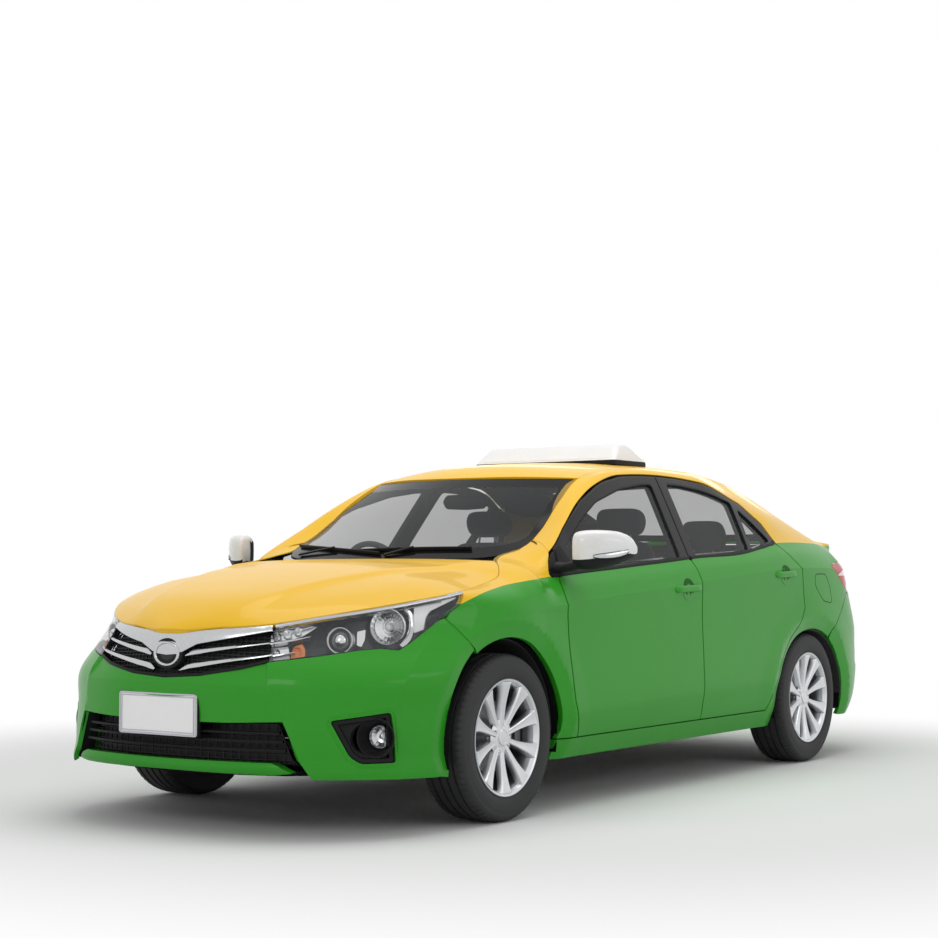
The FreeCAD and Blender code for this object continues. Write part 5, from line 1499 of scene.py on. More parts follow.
SPOKES = 10
for turn in np.arange(SPOKES) * 2 * math.pi / SPOKES + math.pi / 2:
    outward, beside = np.array([math.cos(turn), 0, math.sin(turn)]), np.array([-math.sin(turn), 0, math.cos(turn)])
    rings = []
    for radius, (face, foot, top, low) in zip(radii, stations):
        section = [(-foot, low), (-face - 3.5, top - 7), (-face - 0.8, top - 1.2), (-face + 0.8, top),
                   (-face * 0.4, top - 0.9)]
        section += [(-across, height) for across, height in section[::-1]]
        rings.append([outward * radius + beside * across + np.array([0, height, 0]) for across, height in section])
    join_rings(wheel, rings, 0, capped=True)
PLATE_RADIUS = 71
plate = [(PLATE_RADIUS * math.cos(t), PLATE_RADIUS * math.sin(t)) for t in np.arange(0, 2 * math.pi, 0.13)]
NUT_CIRCLE, NUT_ANGLES, WELL = 52, np.arange(5) * 2 * math.pi / 5 + math.pi / 2, 12.5
wells = [[(NUT_CIRCLE * math.cos(a) + WELL * math.cos(t), NUT_CIRCLE * math.sin(a) + WELL * math.sin(t))
          for t in np.arange(0, 6.2, 0.4)] for a in NUT_ANGLES]


def hub_form(spots):
    away = np.hypot(spots[:, 0], spots[:, 1])
    return np.column_stack([spots[:, 0], 72.5 - 7 * soft_step(50, 72, away) + 1.5 * soft_step(40, 30, away),
                            spots[:, 1]])


wheel.sheet(hub_form, plate, wells, step=9, into=INWARD, facing=OUTWARD, depth=16, rim=2, roll=1.5)
turned(wheel, [(31, 68), (31, 75), (29, 77.5), (26, 77.5), (25, 76.3), (12, 76.8), (0.5, 77)], MIDDLE, OUTWARD, 40, 0)
for a in NUT_ANGLES:
    spot = (NUT_CIRCLE * math.cos(a), 0, NUT_CIRCLE * math.sin(a))
    turned(wheel, [(12.5, 70), (12.5, 54), (0.5, 54)], spot, OUTWARD, 16, 2)
    turned(wheel, [(7.5, 54), (7.5, 64), (5.5, 67), (0.5, 67.5)], spot, OUTWARD, 6, 3)
turned(wheel, [(62, 14), (136, 14), (138, 12), (138, -6), (136, -8), (62, -8)], MIDDLE, OUTWARD, 64, 3)
turned(wheel, [(62, -30), (62, 48), (70, 52), (72, 60)], MIDDLE, OUTWARD, 40, 1)
TREAD = [
    # radius, place across the tread; the last number marks the grooved shoulder
    (206, 84, 0), (221, 91.5, 0), (226, 94, 0), (232, 98, 0), (246, 100.5, 0), (262, 102.3, 0), (278, 101.5, 0),
    (290, 99, 0), (291.5, 99.4, 0), (298, 97, 0), (303, 94, 0), (307.5, 90, 1), (311.5, 84, 1), (314, 76, 1),
    (315, 68, 1), (315.2, 60, 0), (308, 58.5, 0), (308, 51.5, 0), (315.5, 50, 0), (316, 30, 0), (316, 22, 0),
    (308, 20.5, 0), (308, 13.5, 0), (316, 12, 0), (316, 0, 0),
]
profile = TREAD + [(radius, -across, cut) for radius, across, cut in TREAD[-2::-1]]
tyre = Pressing()
TREAD_STEPS, GROOVE, GROOVE_EVERY = 288, 4.0, 4
rings = []
for i in range(TREAD_STEPS):
    turn = 2 * math.pi * i / TREAD_STEPS
    groove = GROOVE if i % GROOVE_EVERY == 0 else 0.0
    rings.append([[(radius - groove * cut) * math.cos(turn), across, (radius - groove * cut) * math.sin(turn)]
                  for radius, across, cut in profile])
join_rings(tyre, rings, 0, closed=True, wrap=False)
HALF_BASE, HALF_TRACK = 1350, 760
for name, end, side in (("front_left", 1, 1), ("front_right", 1, -1), ("rear_left", -1, 1), ("rear_right", -1, -1)):
    place = np.array([end * HALF_BASE, side * HALF_TRACK, AXLE_Z])
    placed(wheel, place, side).build("rim_" + name, [ALLOY, ALLOY_DEEP, BLACK_MATT, STEEL], "wheel_" + name, "alloy",
                                     ["wheel_" + name], crease=32)
    placed(tyre, place, side).build("tyre_tread_" + name, [RUBBER], "wheel_" + name, "tyre", ["tyre_" + name],
                                    crease=28)
print(MADE[-2:])

# %% [markdown]
# ## Door mirrors
# Each mirror is a swept shell on a black foot. It is white above and black below, with a clear turn
# lamp along its lower outer edge, and the glass lies in the side that faces the driver.

# %% Mirrors
MIRROR = [
    # y, front x, back x, low z, middle z, high z
    (870, 906, 852, 964, 1030, 1082), (878, 917, 820, 952, 1034, 1098), (905, 916, 797, 947, 1036, 1104),
    (940, 902, 776, 950, 1038, 1106), (980, 873, 748, 962, 1038, 1104), (1015, 831, 722, 979, 1036, 1094),
    (1038, 793, 704, 996, 1030, 1074), (1050, 764, 700, 1010, 1028, 1048),
]


def mirror_marks(middles):
    """White above, black below; the rim and the glass side are black too."""
    x, y, z = middles.T
    rows = read_table(MIRROR, y)
    border = 990 + 22 * soft_step(930, 1040, y)
    return np.where((z < border) | (x < rows[:, 1] + 4), 1, 0)


mirror = Pressing()
rings = []
for y in np.concatenate([[870, 872, 875, 878], np.linspace(886, 1036, 22), [1042, 1047, 1050]]):
    front, back, low, middle, high = read_table(MIRROR, y)
    ring = []
    for turn in all_round(11.25):
        ahead, up = math.cos(turn), math.sin(turn)
        ahead, up = np.sign(ahead) * abs(ahead) ** 0.6, np.sign(up) * abs(up) ** 0.62
        reach = (front - back) * 0.56 if ahead > 0 else (front - back) * 0.44
        ring.append([back + (front - back) * 0.44 + ahead * reach, y,
                     middle + up * ((high - middle) if up > 0 else (middle - low))])
    rings.append(ring)
join_rings(mirror, rings, mirror_marks, capped=True)
FOOT = [((905, 806, 958), 40, 22), ((888, 832, 958), 44, 18), ((872, 866, 966), 46, 20), ((856, 900, 978), 44, 22)]
rings = [[[x + half_x * math.cos(t), y, z + half_z * math.sin(t)] for t in all_round(22.5)]
         for (x, y, z), half_x, half_z in FOOT]
join_rings(mirror, rings, 1, capped=True)
sail = [(900, 932), (876, 984), (852, 1030), (815, 1052), (776, 960), (772, 944)]
mirror.sheet(side_form, on_side(rounded(sail, 8), 10), step=18, depth=10, offset=0.5, mark=1)
lens_y = np.array([958, 978, 998, 1016, 1032, 1043, 1049.0])
lens = np.column_stack([read_table(MIRROR, lens_y)[:, 0] + 2, lens_y + 1, [1000, 1001, 1003, 1006, 1011, 1017, 1023]])
lens_normals = unit(np.array([[0.75, 0.62, 0.05]] * 4 + [[0.6, 0.8, 0.05]] * 3))
widths = np.array([3, 8, 10, 11, 11, 9, 4.0])
for spare, sunk, mark in ((3, 1.5, 1), (0, 0, 2)):
    shape = [(a, out - sunk) for a, out in ((1, -6), (0.9, 0.5), (0, 2.5), (-0.9, 0.5), (-1, -6))]
    bead(mirror, lens, lens_normals, tapered(widths + spare, shape), mark)


def glass_form(spots):
    y, z = spots.T
    return np.column_stack([read_table(MIRROR, y)[:, 1] - 1.0, y, z])


pane = rounded([(886, 998), (892, 1082), (960, 1092), (1020, 1072), (1032, 1040), (1022, 1004), (960, 990)], 26)
mirror.sheet(glass_form, pane, step=24, into=FORWARD, facing=BACKWARD, depth=4, mark=2)
mirror.build_both("door_mirror_%", [WHITE_GLOSS, BLACK_TRIM, CHROME], "front_door_%", "white_plastic", ["mirror_%"],
                  crease=45)
print(MADE[-2:])

# %% [markdown]
# ## Handles, belt mouldings and other trims of the doors
# A pull bar bridges a round bowl pressed in each door skin. A black strip runs along the foot of the
# side windows and rises round the quarter glass.

# %% Door trims
SHADOW = moulding("shadow_green", (0.008, 0.10, 0.005), 0.5, 200.0, 0.00002, IOR=1.2)


def side_depth(x, z, out):
    spot = np.array(on_side([(x, z)], 1e9))
    return (side_form(spot) + out * form_normals(side_form, spot, OUTWARD))[0]


def pull_handle(middle_x, middle_z, long):
    """Round bowl and pull bar of one handle."""
    piece = Pressing()
    rings = [[side_depth(middle_x + 52 * share * math.cos(t), middle_z + 50 * share * math.sin(t), out)
              for t in all_round(12)]
             for share, out in ((1.0, 0.2), (0.97, 1.4), (0.9, 1.3), (0.6, 1.1), (0.02, 1.0))]
    join_rings(piece, rings, lambda middles: np.where(middles[:, 2] > middle_z - 14, 1, 0))
    bar_x = np.linspace(long / 2, -long / 2, 15)
    line = np.array([side_depth(middle_x + dx, middle_z + 4 - 0.028 * dx, 0) for dx in bar_x])
    ends = np.clip((1 - abs(bar_x) / (long / 2 + 1)) * 6, 0, 1) ** 0.5
    lift = 4 + 9 * np.clip((1 - abs(bar_x) / (long / 2)) * 3, 0, 1) ** 0.7
    section = np.stack([np.stack([15 * ends * a, lift * (0.5 + 0.5 * b) * (0.35 + 0.65 * ends)], -1) for a, b in
                        ((1, -1), (1, 0.2), (0.72, 0.85), (0, 1), (-0.72, 0.9), (-1, 0.2), (-1, -1))], 1)
    normals = np.repeat(unit(np.array([[0, 1.0, 0.06]])), 15, 0)
    bead(piece, line, normals, section, 0)
    return piece


def belt_moulding(start_x, end_x, rise=()):
    """Black strip along the belt, and up behind the quarter glass where a rise is given."""
    places = [(x, float(belt_height(x)) + 3) for x in np.arange(start_x, end_x, -14)] + list(rise)
    section = [(-8, -3), (-7.5, 2), (-2, 3.2), (5, 2.4), (8, -3)]
    return bead_on(Pressing(), side_form, on_side(places, closed=False), section)


HANDLES = {"front": (-46, 860, 246), "rear": (-1044, 920, 232)}
MOULDINGS = {"front": belt_moulding(944, -138), "rear": belt_moulding(-150, -1010, [(-1040, 1070), (-1072, 1086)])}
for place in ("front", "rear"):
    handle, strip = pull_handle(*HANDLES[place]), MOULDINGS[place]
    for side, bar, edging in (("left", handle, strip), ("right", handle.mirrored(), strip.mirrored())):
        bar.build(f"{place}_handle_{side}", [GREEN, SHADOW], f"{place}_door_{side}", "green_paint", crease=50)
        edging.build(f"{place}_belt_strip_{side}", [BLACK_TRIM], f"{place}_door_{side}", "black_plastic")
print(MADE[-8:])

# %% [markdown]
# ## Scuttle, wipers and roof sign
# The black scuttle fills the space between the bonnet and the windscreen. Two wipers rest on the glass just
# above it. The sign on the roof is a blank white lamp box with a shallow panel on its face.

# %% Scuttle, wipers and sign
def scuttle_form(spots):
    x, y = spots.T
    share = np.clip(abs(y) / 640, 0, 1.1)
    ripple = 7 * np.sin((x - 1040) / 9) * (abs(x - 1070) < 26)
    return np.column_stack([x, y, 968 - 22 * share ** 2 - 0.10 * (x - 1040) + ripple])


scuttle = Pressing()
scuttle_line = [(1112, 0), (1112, 560), (1128, 632), (1098, 652), (1040, 652), (985, 640), (985, 600), (1030, 520),
                (1060, 360), (1076, 0)]
scuttle.sheet(scuttle_form, both_sides(scuttle_line), step=16, into=DOWNWARD, facing=UPWARD, depth=40)
for middle in (-330, 330):
    for k in range(7):
        line = np.array([(1052 + 5 * k - 14, y) for y in np.linspace(middle - 90, middle + 90, 10)])
        normals = form_normals(scuttle_form, line, UPWARD)
        bead(scuttle, scuttle_form(line), normals, oval(2, 3, 6), 0)
scuttle.build("scuttle_cover", [BLACK_TRIM], "body", "black_plastic", ["scuttle"])


def wiper(start, end, pivot):
    """Blade along the foot of the glass, and the arm that carries it; places are (y, z) in front view."""
    piece = Pressing()
    share = np.linspace(0, 1, 24)[:, None]
    bow = np.column_stack([0 * share, 10 * share * (1 - share)])
    flat = np.array(start) + share * (np.array(end) - np.array(start)) + bow
    normals = form_normals(screen_form, flat, (1, 0, 1))
    bead(piece, screen_form(flat) + 8 * normals, normals, [(-4.5, -7), (-4.5, 2), (-2, 6), (2, 6), (4.5, 2), (4.5, -7)],
         0)
    middle = flat[12]
    arm = np.array(pivot) + np.linspace(0, 1, 12)[:, None] * (middle - np.array(pivot))
    arm_normals = form_normals(screen_form, arm, (1, 0, 1))
    section = tapered(np.linspace(8, 5, 12), [(1, -3), (0.8, 4), (-0.8, 4), (-1, -3)])
    bead(piece, screen_form(arm) + np.linspace(6, 15, 12)[:, None] * arm_normals, arm_normals, section)
    return piece


wiper((-560, 1046), (30, 1010), (-470, 1008)).build("wiper_right", [BLACK_TRIM], "body", "black_plastic")
wiper((-90, 1022), (420, 1030), (60, 1004)).build("wiper_left", [BLACK_TRIM], "body", "black_plastic")

SIGN = [
    # height, front x, rear x, half-width, corner radius
    (1436, -251, -555, 393, 14), (1450, -251, -555, 393.5, 16), (1458, -252, -554, 393, 20),
    (1462, -255, -551, 392, 24), (1480, -273, -522, 386, 30), (1505, -299, -485, 376, 34), (1524, -320, -458, 367, 36),
    (1533, -331, -446, 360, 34), (1538, -345, -438, 350, 30), (1540, -365, -425, 330, 20),
]
SIGN_WHITE = moulding("sign_white", (0.82, 0.82, 0.81), 0.4, 200.0, 0.00002, Coat_Weight=0.3)
sign = Pressing()
SIGN_FOOT_TOP = 1456
sign_rings = [corner_ring((rear, -half), (front, half), z, radius, 0, 7) for z, front, rear, half, radius in SIGN]
join_rings(sign, sign_rings, lambda middles: np.where(middles[:, 2] < SIGN_FOOT_TOP, 1, 0), capped=True)


def sign_face(spots):
    y, share = spots[:, 0], spots[:, 1] / 100
    return np.column_stack([-255 - 68 * share, y, 1463 + 62 * share])


panel = rounded([(352, 4), (344, 94), (-344, 94), (-352, 4)], 18)
sign.sheet(sign_face, panel, step=40, into=BACKWARD, facing=FORWARD, depth=4, offset=1.2, rim=3, roll=1.5)
sign.build("roof_sign_box", [SIGN_WHITE, BLACK_TRIM], "body", "white_plastic", ["roof_sign"], crease=45)
print(MADE[-4:])

# %% [markdown]
# ## Tail
# The rear bumper, the lamps that wrap round the corners, a chrome bar over the plate and a low red
# reflector on each side all lie on the form of the tail.

# %% Rear bumper, tail lamps and bar
def tail_place(x, z):
    """Way round the tail of a place on its side, from its place along the car."""
    y = float(end_half_width(TAIL, x, z))
    return (girth_of(TAIL, x, y, z), z)


def tail_skin_form(spots):
    point = tail_form(spots)
    girth, z = abs(spots[:, 0]), spots[:, 1]
    tuck = read_table([(205, -12), (240, -3), (300, 0), (440, 0), (452, -3), (468, -10), (560, -12), (610, -6),
                       (642, -2)], z)[:, 0]
    point[:, 0] -= tuck * soft_step(1150, 700, girth)
    point[:, 1] += (arch_swell(point[:, 0], z) + 0.4 * tuck * soft_step(500, 1150, girth)) * np.sign(point[:, 1])
    return point


axle, half_long, half_high = ARCHES[1]
arch_low = [(axle - half_long * math.sqrt(1 - ((z - AXLE_Z) / half_high) ** 2) - 2, z)
            for z in (600, 560, 520, 470, 420, 370, 320, 270, 230, 207)]
rear_half = [(0, 642)] + [(tail_girth(524, z), z) for z in (642, 690, 740, 784)]
below_lamp = [(-2060, 787), (-1950, 804), (-1838, 830), (-1728, 743), (-1642, 680), (-1588, 638)]
rear_half += [tail_place(x, z) for x, z in below_lamp + arch_low]
rear_half += [(g, 205) for g in np.arange(rear_half[-1][0] - 30, 0, -60)] + [(0, 205)]
rear_bumper = Pressing().sheet(tail_skin_form, mirror_line(rear_half), step=17, into=None, facing=BACKWARD, depth=18,
                               lines=[dense([(-1200, z), (1200, z)], 16) for z in (446, 470)])
for side in (1, -1):
    outer, inner = (side * tail_girth(y, 430) for y in (690, 560))
    mark_line = rounded([(outer, 412), (inner, 412), (inner, 438), (outer, 438)], 8)
    rear_bumper.sheet(tail_skin_form, mark_line, step=20, into=FORWARD, facing=BACKWARD, depth=8, offset=2.5, mark=1)
LAMP_RED = moulding("tail_lamp_red", (0.50, 0.006, 0.008), 0.12, 90.0, 0.0001, Coat_Weight=0.4, Coat_IOR=1.3, IOR=1.2)
LAMP_PALE = moulding("tail_lamp_pale", (0.70, 0.60, 0.60), 0.15, 90.0, 0.0001, Coat_Weight=1.0)
rear_bumper.build("rear_bumper_skin", [GREEN, LAMP_RED], "body", "green_paint", ["rear_bumper"], crease=28)


def is_pale(spots):
    """A wedge that widens rearward, and the small window of the reversing lamp below it."""
    x, _, z = side_form(spots).T
    return ((z > 916) & (z < 916 + 28 * soft_step(-1690, -1830, x))) | ((z > 838) & (z < 868) & (x < -1842))


lamp_middle = np.array([-1900, 890.0])
lamp_edge = [tuple(p + 3 * unit(lamp_middle - p)) for p in np.array(TAIL_LAMP, float)]
steps = range(-1690, -2190, -14)
pale_edges = [side_line([(x, z) for x in steps]) for z in (916, 838, 868)]
pale_edges += [side_line([(x, 916 + 28 * float(soft_step(-1690, -1830, x))) for x in steps]),
               side_line([(-1842, 838), (-1842, 868)])]
tail_lamp = Pressing().sheet(side_form, side_line(corner_line(530, 784, 976)[::-1] + lamp_edge), step=14, into=None,
                             depth=22,
                             offset=-0.5, rim=3, roll=2, split=is_pale, lines=pale_edges)
tail_lamp.build_both("tail_lamp_lens_%", [LAMP_RED, LAMP_PALE], "body", "lamp_red", ["tail_lamps"])
chrome_strip = Pressing()
strip_line = [(g, 884) for g in np.linspace(-tail_girth(300, 884), tail_girth(300, 884), 50)]
bead_on(chrome_strip, tail_form, strip_line, [(-11, -10), (-10, 5), (-3, 9), (6, 7), (11, -10)], BACKWARD, 0)
chrome_strip.build("boot_lid_bar", [CHROME], "boot_lid", "alloy", crease=35)
print(MADE[-5:])

# %% [markdown]
# ## Seats
# A car seat is foam under stretched cloth: fat in the middle, tight at the edges, with raised bolsters
# that hold the sitter. Each cushion is drawn as a coarse cage of rings and a subdivision surface
# rounds it, which is how foam pulls its cover smooth. The frames below and the shelf behind are plain boxes.

# %% Seats
def cloth(name, colour):
    """Woven cloth: crossed threads, a little lighter where they rise, and a soft fuzz."""
    weave = Finish(name, colour, 0.9, Sheen_Weight=0.25, Sheen_Roughness=0.5)
    threads = [weave.node("TexWave", {"bands_direction": axis}, weave.place(), 260.0, 1.5, 2.0, out=1)
               for axis in ("X", "Z")]
    raised = (threads[0] + threads[1]) * 0.5
    light = tuple(c * 1.7 for c in colour)
    weave.feed("Base Color", weave.mix(raised * 0.6 + weave.noise(9.0, 3.0) * 0.3, (*colour, 1), (*light, 1)))
    weave.feed("Roughness", raised * 0.08 + 0.86)
    weave.relief(raised, 0.0004, 0.7)
    return weave.material


CLOTH = cloth("seat_cloth", (0.030, 0.031, 0.034))
LINER = moulding("headliner_cloth", (0.10, 0.10, 0.10), 0.9, 500.0, 0.0002)


def cushion(name, rows, middle_y, replaced=(), body="body"):
    """A cushion through rows of x, z, lean of its face, half-width, half-depth, bolster."""
    cage = Pressing()
    turns = np.radians(np.arange(0, 360, 22.5) + 11.25)
    rings = []
    for x, z, lean, half, deep, bolster in rows:
        out = np.array([math.sin(math.radians(lean)), 0, math.cos(math.radians(lean))])
        across, up = (np.sign(f(turns)) * abs(f(turns)) ** 0.55 for f in (np.cos, np.sin))
        rise = up * deep + (up > 0) * bolster * abs(across) ** 3
        rings.append(np.array([x, middle_y, z]) + half * across[:, None] * [0, 1, 0] + rise[:, None] * out)
    join_rings(cage, rings, 0, capped=True)
    pad = cage.build(name, [CLOTH], body, "seat_cloth", replaced, crease=180)
    pad.modifiers.new("foam", "SUBSURF").levels = 2
    pad.modifiers["foam"].render_levels = 2
    return pad


FRONT_BASE = [
    (366, 404, 40, 205, 26, 0), (352, 408, 20, 226, 46, 4), (290, 412, 0, 236, 56, 14), (140, 412, 0, 236, 54, 20),
    (-20, 408, -4, 232, 52, 18), (-96, 404, -8, 222, 44, 8), (-112, 402, -12, 196, 26, 0),
]
FRONT_BACK = [
    (-150, 410, 78, 205, 34, 0), (-158, 440, 76, 226, 50, 8), (-182, 540, 76, 237, 54, 24),
    (-221, 690, 75, 236, 56, 28), (-268, 860, 74, 228, 50, 22), (-304, 1000, 74, 206, 42, 8),
    (-322, 1060, 74, 176, 32, 0), (-326, 1078, 74, 140, 18, 0),
]
FRONT_REST = [
    (-341, 1108, 74, 88, 26, 0), (-343, 1122, 74, 114, 40, 0), (-347, 1170, 74, 130, 46, 6),
    (-347, 1214, 74, 120, 38, 4), (-346, 1230, 74, 92, 22, 0),
]
REAR_BASE = [(-646, 452, 30, 560, 22, 0), (-668, 456, 12, 600, 32, 4), (-860, 454, -4, 604, 32, 6),
             (-1060, 448, -8, 598, 30, 0), (-1100, 446, -8, 560, 20, 0)]
REAR_BACK = [(-1128, 510, 76, 560, 30, 0), (-1136, 545, 76, 602, 50, 6), (-1180, 740, 74, 600, 50, 10),
             (-1235, 940, 73, 575, 40, 4), (-1250, 1000, 73, 540, 26, 0), (-1253, 1016, 73, 500, 14, 0)]
REAR_REST = [(-1251, 1040, 74, 92, 22, 0), (-1250, 1058, 74, 118, 36, 0), (-1248, 1120, 74, 128, 40, 4),
             (-1242, 1176, 74, 112, 32, 0), (-1240, 1192, 74, 84, 18, 0)]
SEAT_Y, HEAD_Y, POST = 372, 335, 52
for side, y in (("left", SEAT_Y), ("right", -SEAT_Y)):
    cushion("front_seat_base_" + side, FRONT_BASE, y, ["front_seats"])
    cushion("front_seat_back_" + side, FRONT_BACK, y)
    cushion("front_head_rest_" + side, FRONT_REST, y)
    cushion("rear_head_rest_" + side, REAR_REST, y * 0.9)
cushion("rear_bench_base", REAR_BASE, 0, ["rear_seat"])
cushion("rear_bench_back", REAR_BACK, 0)


def rounded_box(piece, low, high, radius, mark=0, soft=6):
    """A box with round corners seen from above and a soft top edge."""
    soft_top = ((low[2], 0), (high[2] - soft, 0), (high[2] - soft * 0.3, soft * 0.3), (high[2], soft))
    rings = [corner_ring(low, high, z, radius, inset, 5) for z, inset in soft_top]
    join_rings(piece, rings, mark, capped=True)


seat_frame = Pressing()
for y in (SEAT_Y, -SEAT_Y):
    rounded_box(seat_frame, (-120, y - 222, 246), (330, y + 222, 372), 40)
    for post in (-POST, POST):
        bead(seat_frame, [(-330, y + post, 1070), (-341, y + post, 1115)], [FORWARD] * 2, oval(11, 11), 1)
for y in (HEAD_Y, -HEAD_Y):
    for post in (-POST, POST):
        bead(seat_frame, [(-1250, y + post, 1005), (-1250, y + post, 1050)], [FORWARD] * 2, oval(11, 11), 1)
rounded_box(seat_frame, (-1720, -560, 1012), (-1292, 560, 1030), 30, 2)
seat_frame.build("seat_frames_and_shelf", [CABIN, STEEL, LINER], "body", "cabin_plastic", crease=35)
print(MADE[-12:])

# %% [markdown]
# ## Cabin
# Only the upper half of the cabin shows through the glass: a dashboard with a hood over the
# instruments, a three-spoke wheel, a small mirror and the roof lining.

# %% Dashboard, console, steering wheel, mirror and lining
DASH = [(1035, 640), (1035, 905), (900, 955), (770, 930), (706, 862), (694, 765), (768, 645), (880, 604)]
dash = Pressing()
HOOD_OVER_DIALS = [(760, 900), (742, 982), (690, 988), (650, 960), (655, 900), (720, 855)]
for shape, first, last in ((DASH, -612, 612), (HOOD_OVER_DIALS, -528, -212)):
    loop = np.array(rounded(shape, 34, 5))
    middle = loop.mean(0)
    slices = ((first, 0.93), (first + 8, 0.985), (first + 24, 1), (last - 24, 1), (last - 8, 0.985), (last, 0.93))
    rings = [[[x, y, z] for x, z in middle + (loop - middle) * share] for y, share in slices]
    join_rings(dash, rings, capped=True)
rounded_box(dash, (640, -118, 500), (880, 118, 700), 20)
rounded_box(dash, (152, -114, 326), (700, 114, 520), 30, 0, 16)
screen = [(696, 90, 740), (696, -90, 740), (712, -90, 850), (712, 90, 850)]
join_rings(dash, [[(x + d, y * s, 795 + (z - 795) * s) for x, y, z in screen]
                  for d, s in ((12, 1), (-6, 1), (-9, 0.96))], 1, capped=True)
for y in (-545, -150, 150, 545):
    turned(dash, [(44, -14), (44, 6), (38, 9), (34, 4), (34, -14)], (716, y, 842), (-0.9, 0, 0.42), 24, 1,
           stretch=(1.3, 0.8))
dash.build("dashboard_shell", [CABIN, BLACK_GLOSS], "body", "cabin_plastic", ["dashboard"], crease=35)

WHEEL_MIDDLE, WHEEL_AXIS = np.array([560.0, -370, 905]), np.array([-0.92718, 0, 0.37461])
beside, upward = np.array([0.0, 1, 0]), np.cross(WHEEL_AXIS, [0, 1.0, 0])
turns = all_round(6)
HOOP_RADIUS = 170
hoop = WHEEL_MIDDLE + HOOP_RADIUS * (np.cos(turns)[:, None] * beside + np.sin(turns)[:, None] * upward)
steering = Pressing()
bead(steering, hoop, np.repeat(WHEEL_AXIS[None], 60, 0), oval(27, 27, 12), 0, closed=True)
turned(steering, [(1, 26), (40, 24), (58, 14), (62, 0), (50, -20), (1, -24)], WHEEL_MIDDLE, WHEEL_AXIS, 32, 0,
       stretch=(1.15, 0.9))
for angle in (0, 180, 270):
    turn = math.radians(angle)
    away = math.cos(turn) * beside + math.sin(turn) * upward * np.sign(upward[2])
    spoke = WHEEL_MIDDLE + np.linspace(48, 166, 6)[:, None] * away
    bead(steering, spoke, np.repeat(WHEEL_AXIS[None], 6, 0), oval(34, 14, 10), 0)
steering.build("steering_wheel_rim", [CABIN], "steering_wheel", "cabin_plastic", ["steering_wheel"], crease=45)

inner_mirror = Pressing()
rings = []
for across in (-1, -0.96, -0.86, 0, 0.86, 0.96, 1):
    size = (1 - abs(across) ** 8) ** 0.5 * 0.7 + 0.3
    rings.append([[420 + 13 * math.cos(t) + 6 * across ** 2, 20 + 112 * across, 1248 + 36 * size * math.sin(t)]
                  for t in all_round(20)])
join_rings(inner_mirror, rings, 0, capped=True)
bead(inner_mirror, [(424, 20, 1262), (462, 20, 1322)], [FORWARD] * 2, oval(22, 18, 10))
inner_mirror.build("inner_mirror", [BLACK_TRIM], "body", "cabin_plastic", crease=45)


def lining_form(spots):
    return crowned(ROOF)(spots) - [0, 0, 16]


lining_line = bowed(470, 300, LINING_HALF) + [(x, LINING_HALF) for x in range(270, -1120, -30)]
lining_line += bowed(-1180, -1120, LINING_HALF)[::-1]
Pressing().sheet(lining_form, both_sides(lining_line), step=40, into=DOWNWARD, facing=DOWNWARD, depth=3, rim=4).build(
    "roof_lining", [LINER], "body", "cabin_plastic")
print(MADE[-5:])

# %% [markdown]
# ## Linings of the roof rails
# On the real car a moulded trim hides the bare steel of the rails. It is the side form once more, laid
# a little further in, so it follows the rail without a shape of its own.

# %% Rail linings
rail_line = at_level(dense([(-1700, TOP - 0.04), (990, TOP - 0.04)]) + dense([(1010, RAIL + 0.1), (-1000, RAIL + 0.1)])
                     + dense([(-1300, RAIL + 0.3), (-1690, RAIL + 0.6)]))
rail_lining = Pressing().sheet(side_form, rail_line, step=30, depth=1, offset=-15)
rail_lining.build_both("rail_lining_%", [CABIN], "body", "cabin_plastic")
print(MADE[-2:])

# %% [markdown]
# ## Fuel flap, wheel-arch liners and nose tray
# A fuel flap shows as a thin dark line in the left rear quarter. Black liners close the wheel arches, and a flat
# tray closes the nose from below.

# %% Fuel flap, liners and tray
flap = rounded([(-1389, 925), (-1528, 925), (-1572, 866), (-1589, 778), (-1477, 789), (-1386, 868)], 26)
gap_line = [(-1.7, -1), (-1.7, 0.3), (1.7, 0.3), (1.7, -1)]
flap_gap = bead_on(Pressing(), side_form, on_side(flap, 14), gap_line, closed=True)
flap_gap.build("fuel_flap_gap", [BLACK_MATT], "body", "black_plastic")


def tray_form(spots):
    return np.column_stack([spots, 214 + 0.02 * abs(spots[:, 1])])


tray_line = [(2232, 0), (2222, 300), (2190, 470), (2130, 570), (2000, 660), (1860, 700), (1760, 700), (1700, 560),
             (1690, 0)]
tray = Pressing().sheet(tray_form, both_sides(tray_line), step=50, into=UPWARD, facing=DOWNWARD, depth=18, rim=3)
tray.build("nose_undertray", [BLACK_MATT], "body", "black_plastic")
liners = Pressing()
for index, low_y, high_y in ((0, 560, 842), (1, 620, 842)):
    edge = np.array(arch_edge(index, -14, 194, -5))
    rings = [[(x, y, z) for x, z in edge] for y in np.linspace(low_y, high_y, 4)]
    join_rings(liners, rings, 0, wrap=False)
liners.build_both("arch_liners_%", [BLACK_MATT], "body", "black_plastic")

# %% [markdown]
# ## Parts that keep their own shape
# The floor, axles, exhaust, engine and knuckles are hardly seen, so their solids stay as they are. They
# only need a finish: sprayed underbody, cast iron or dulled steel.

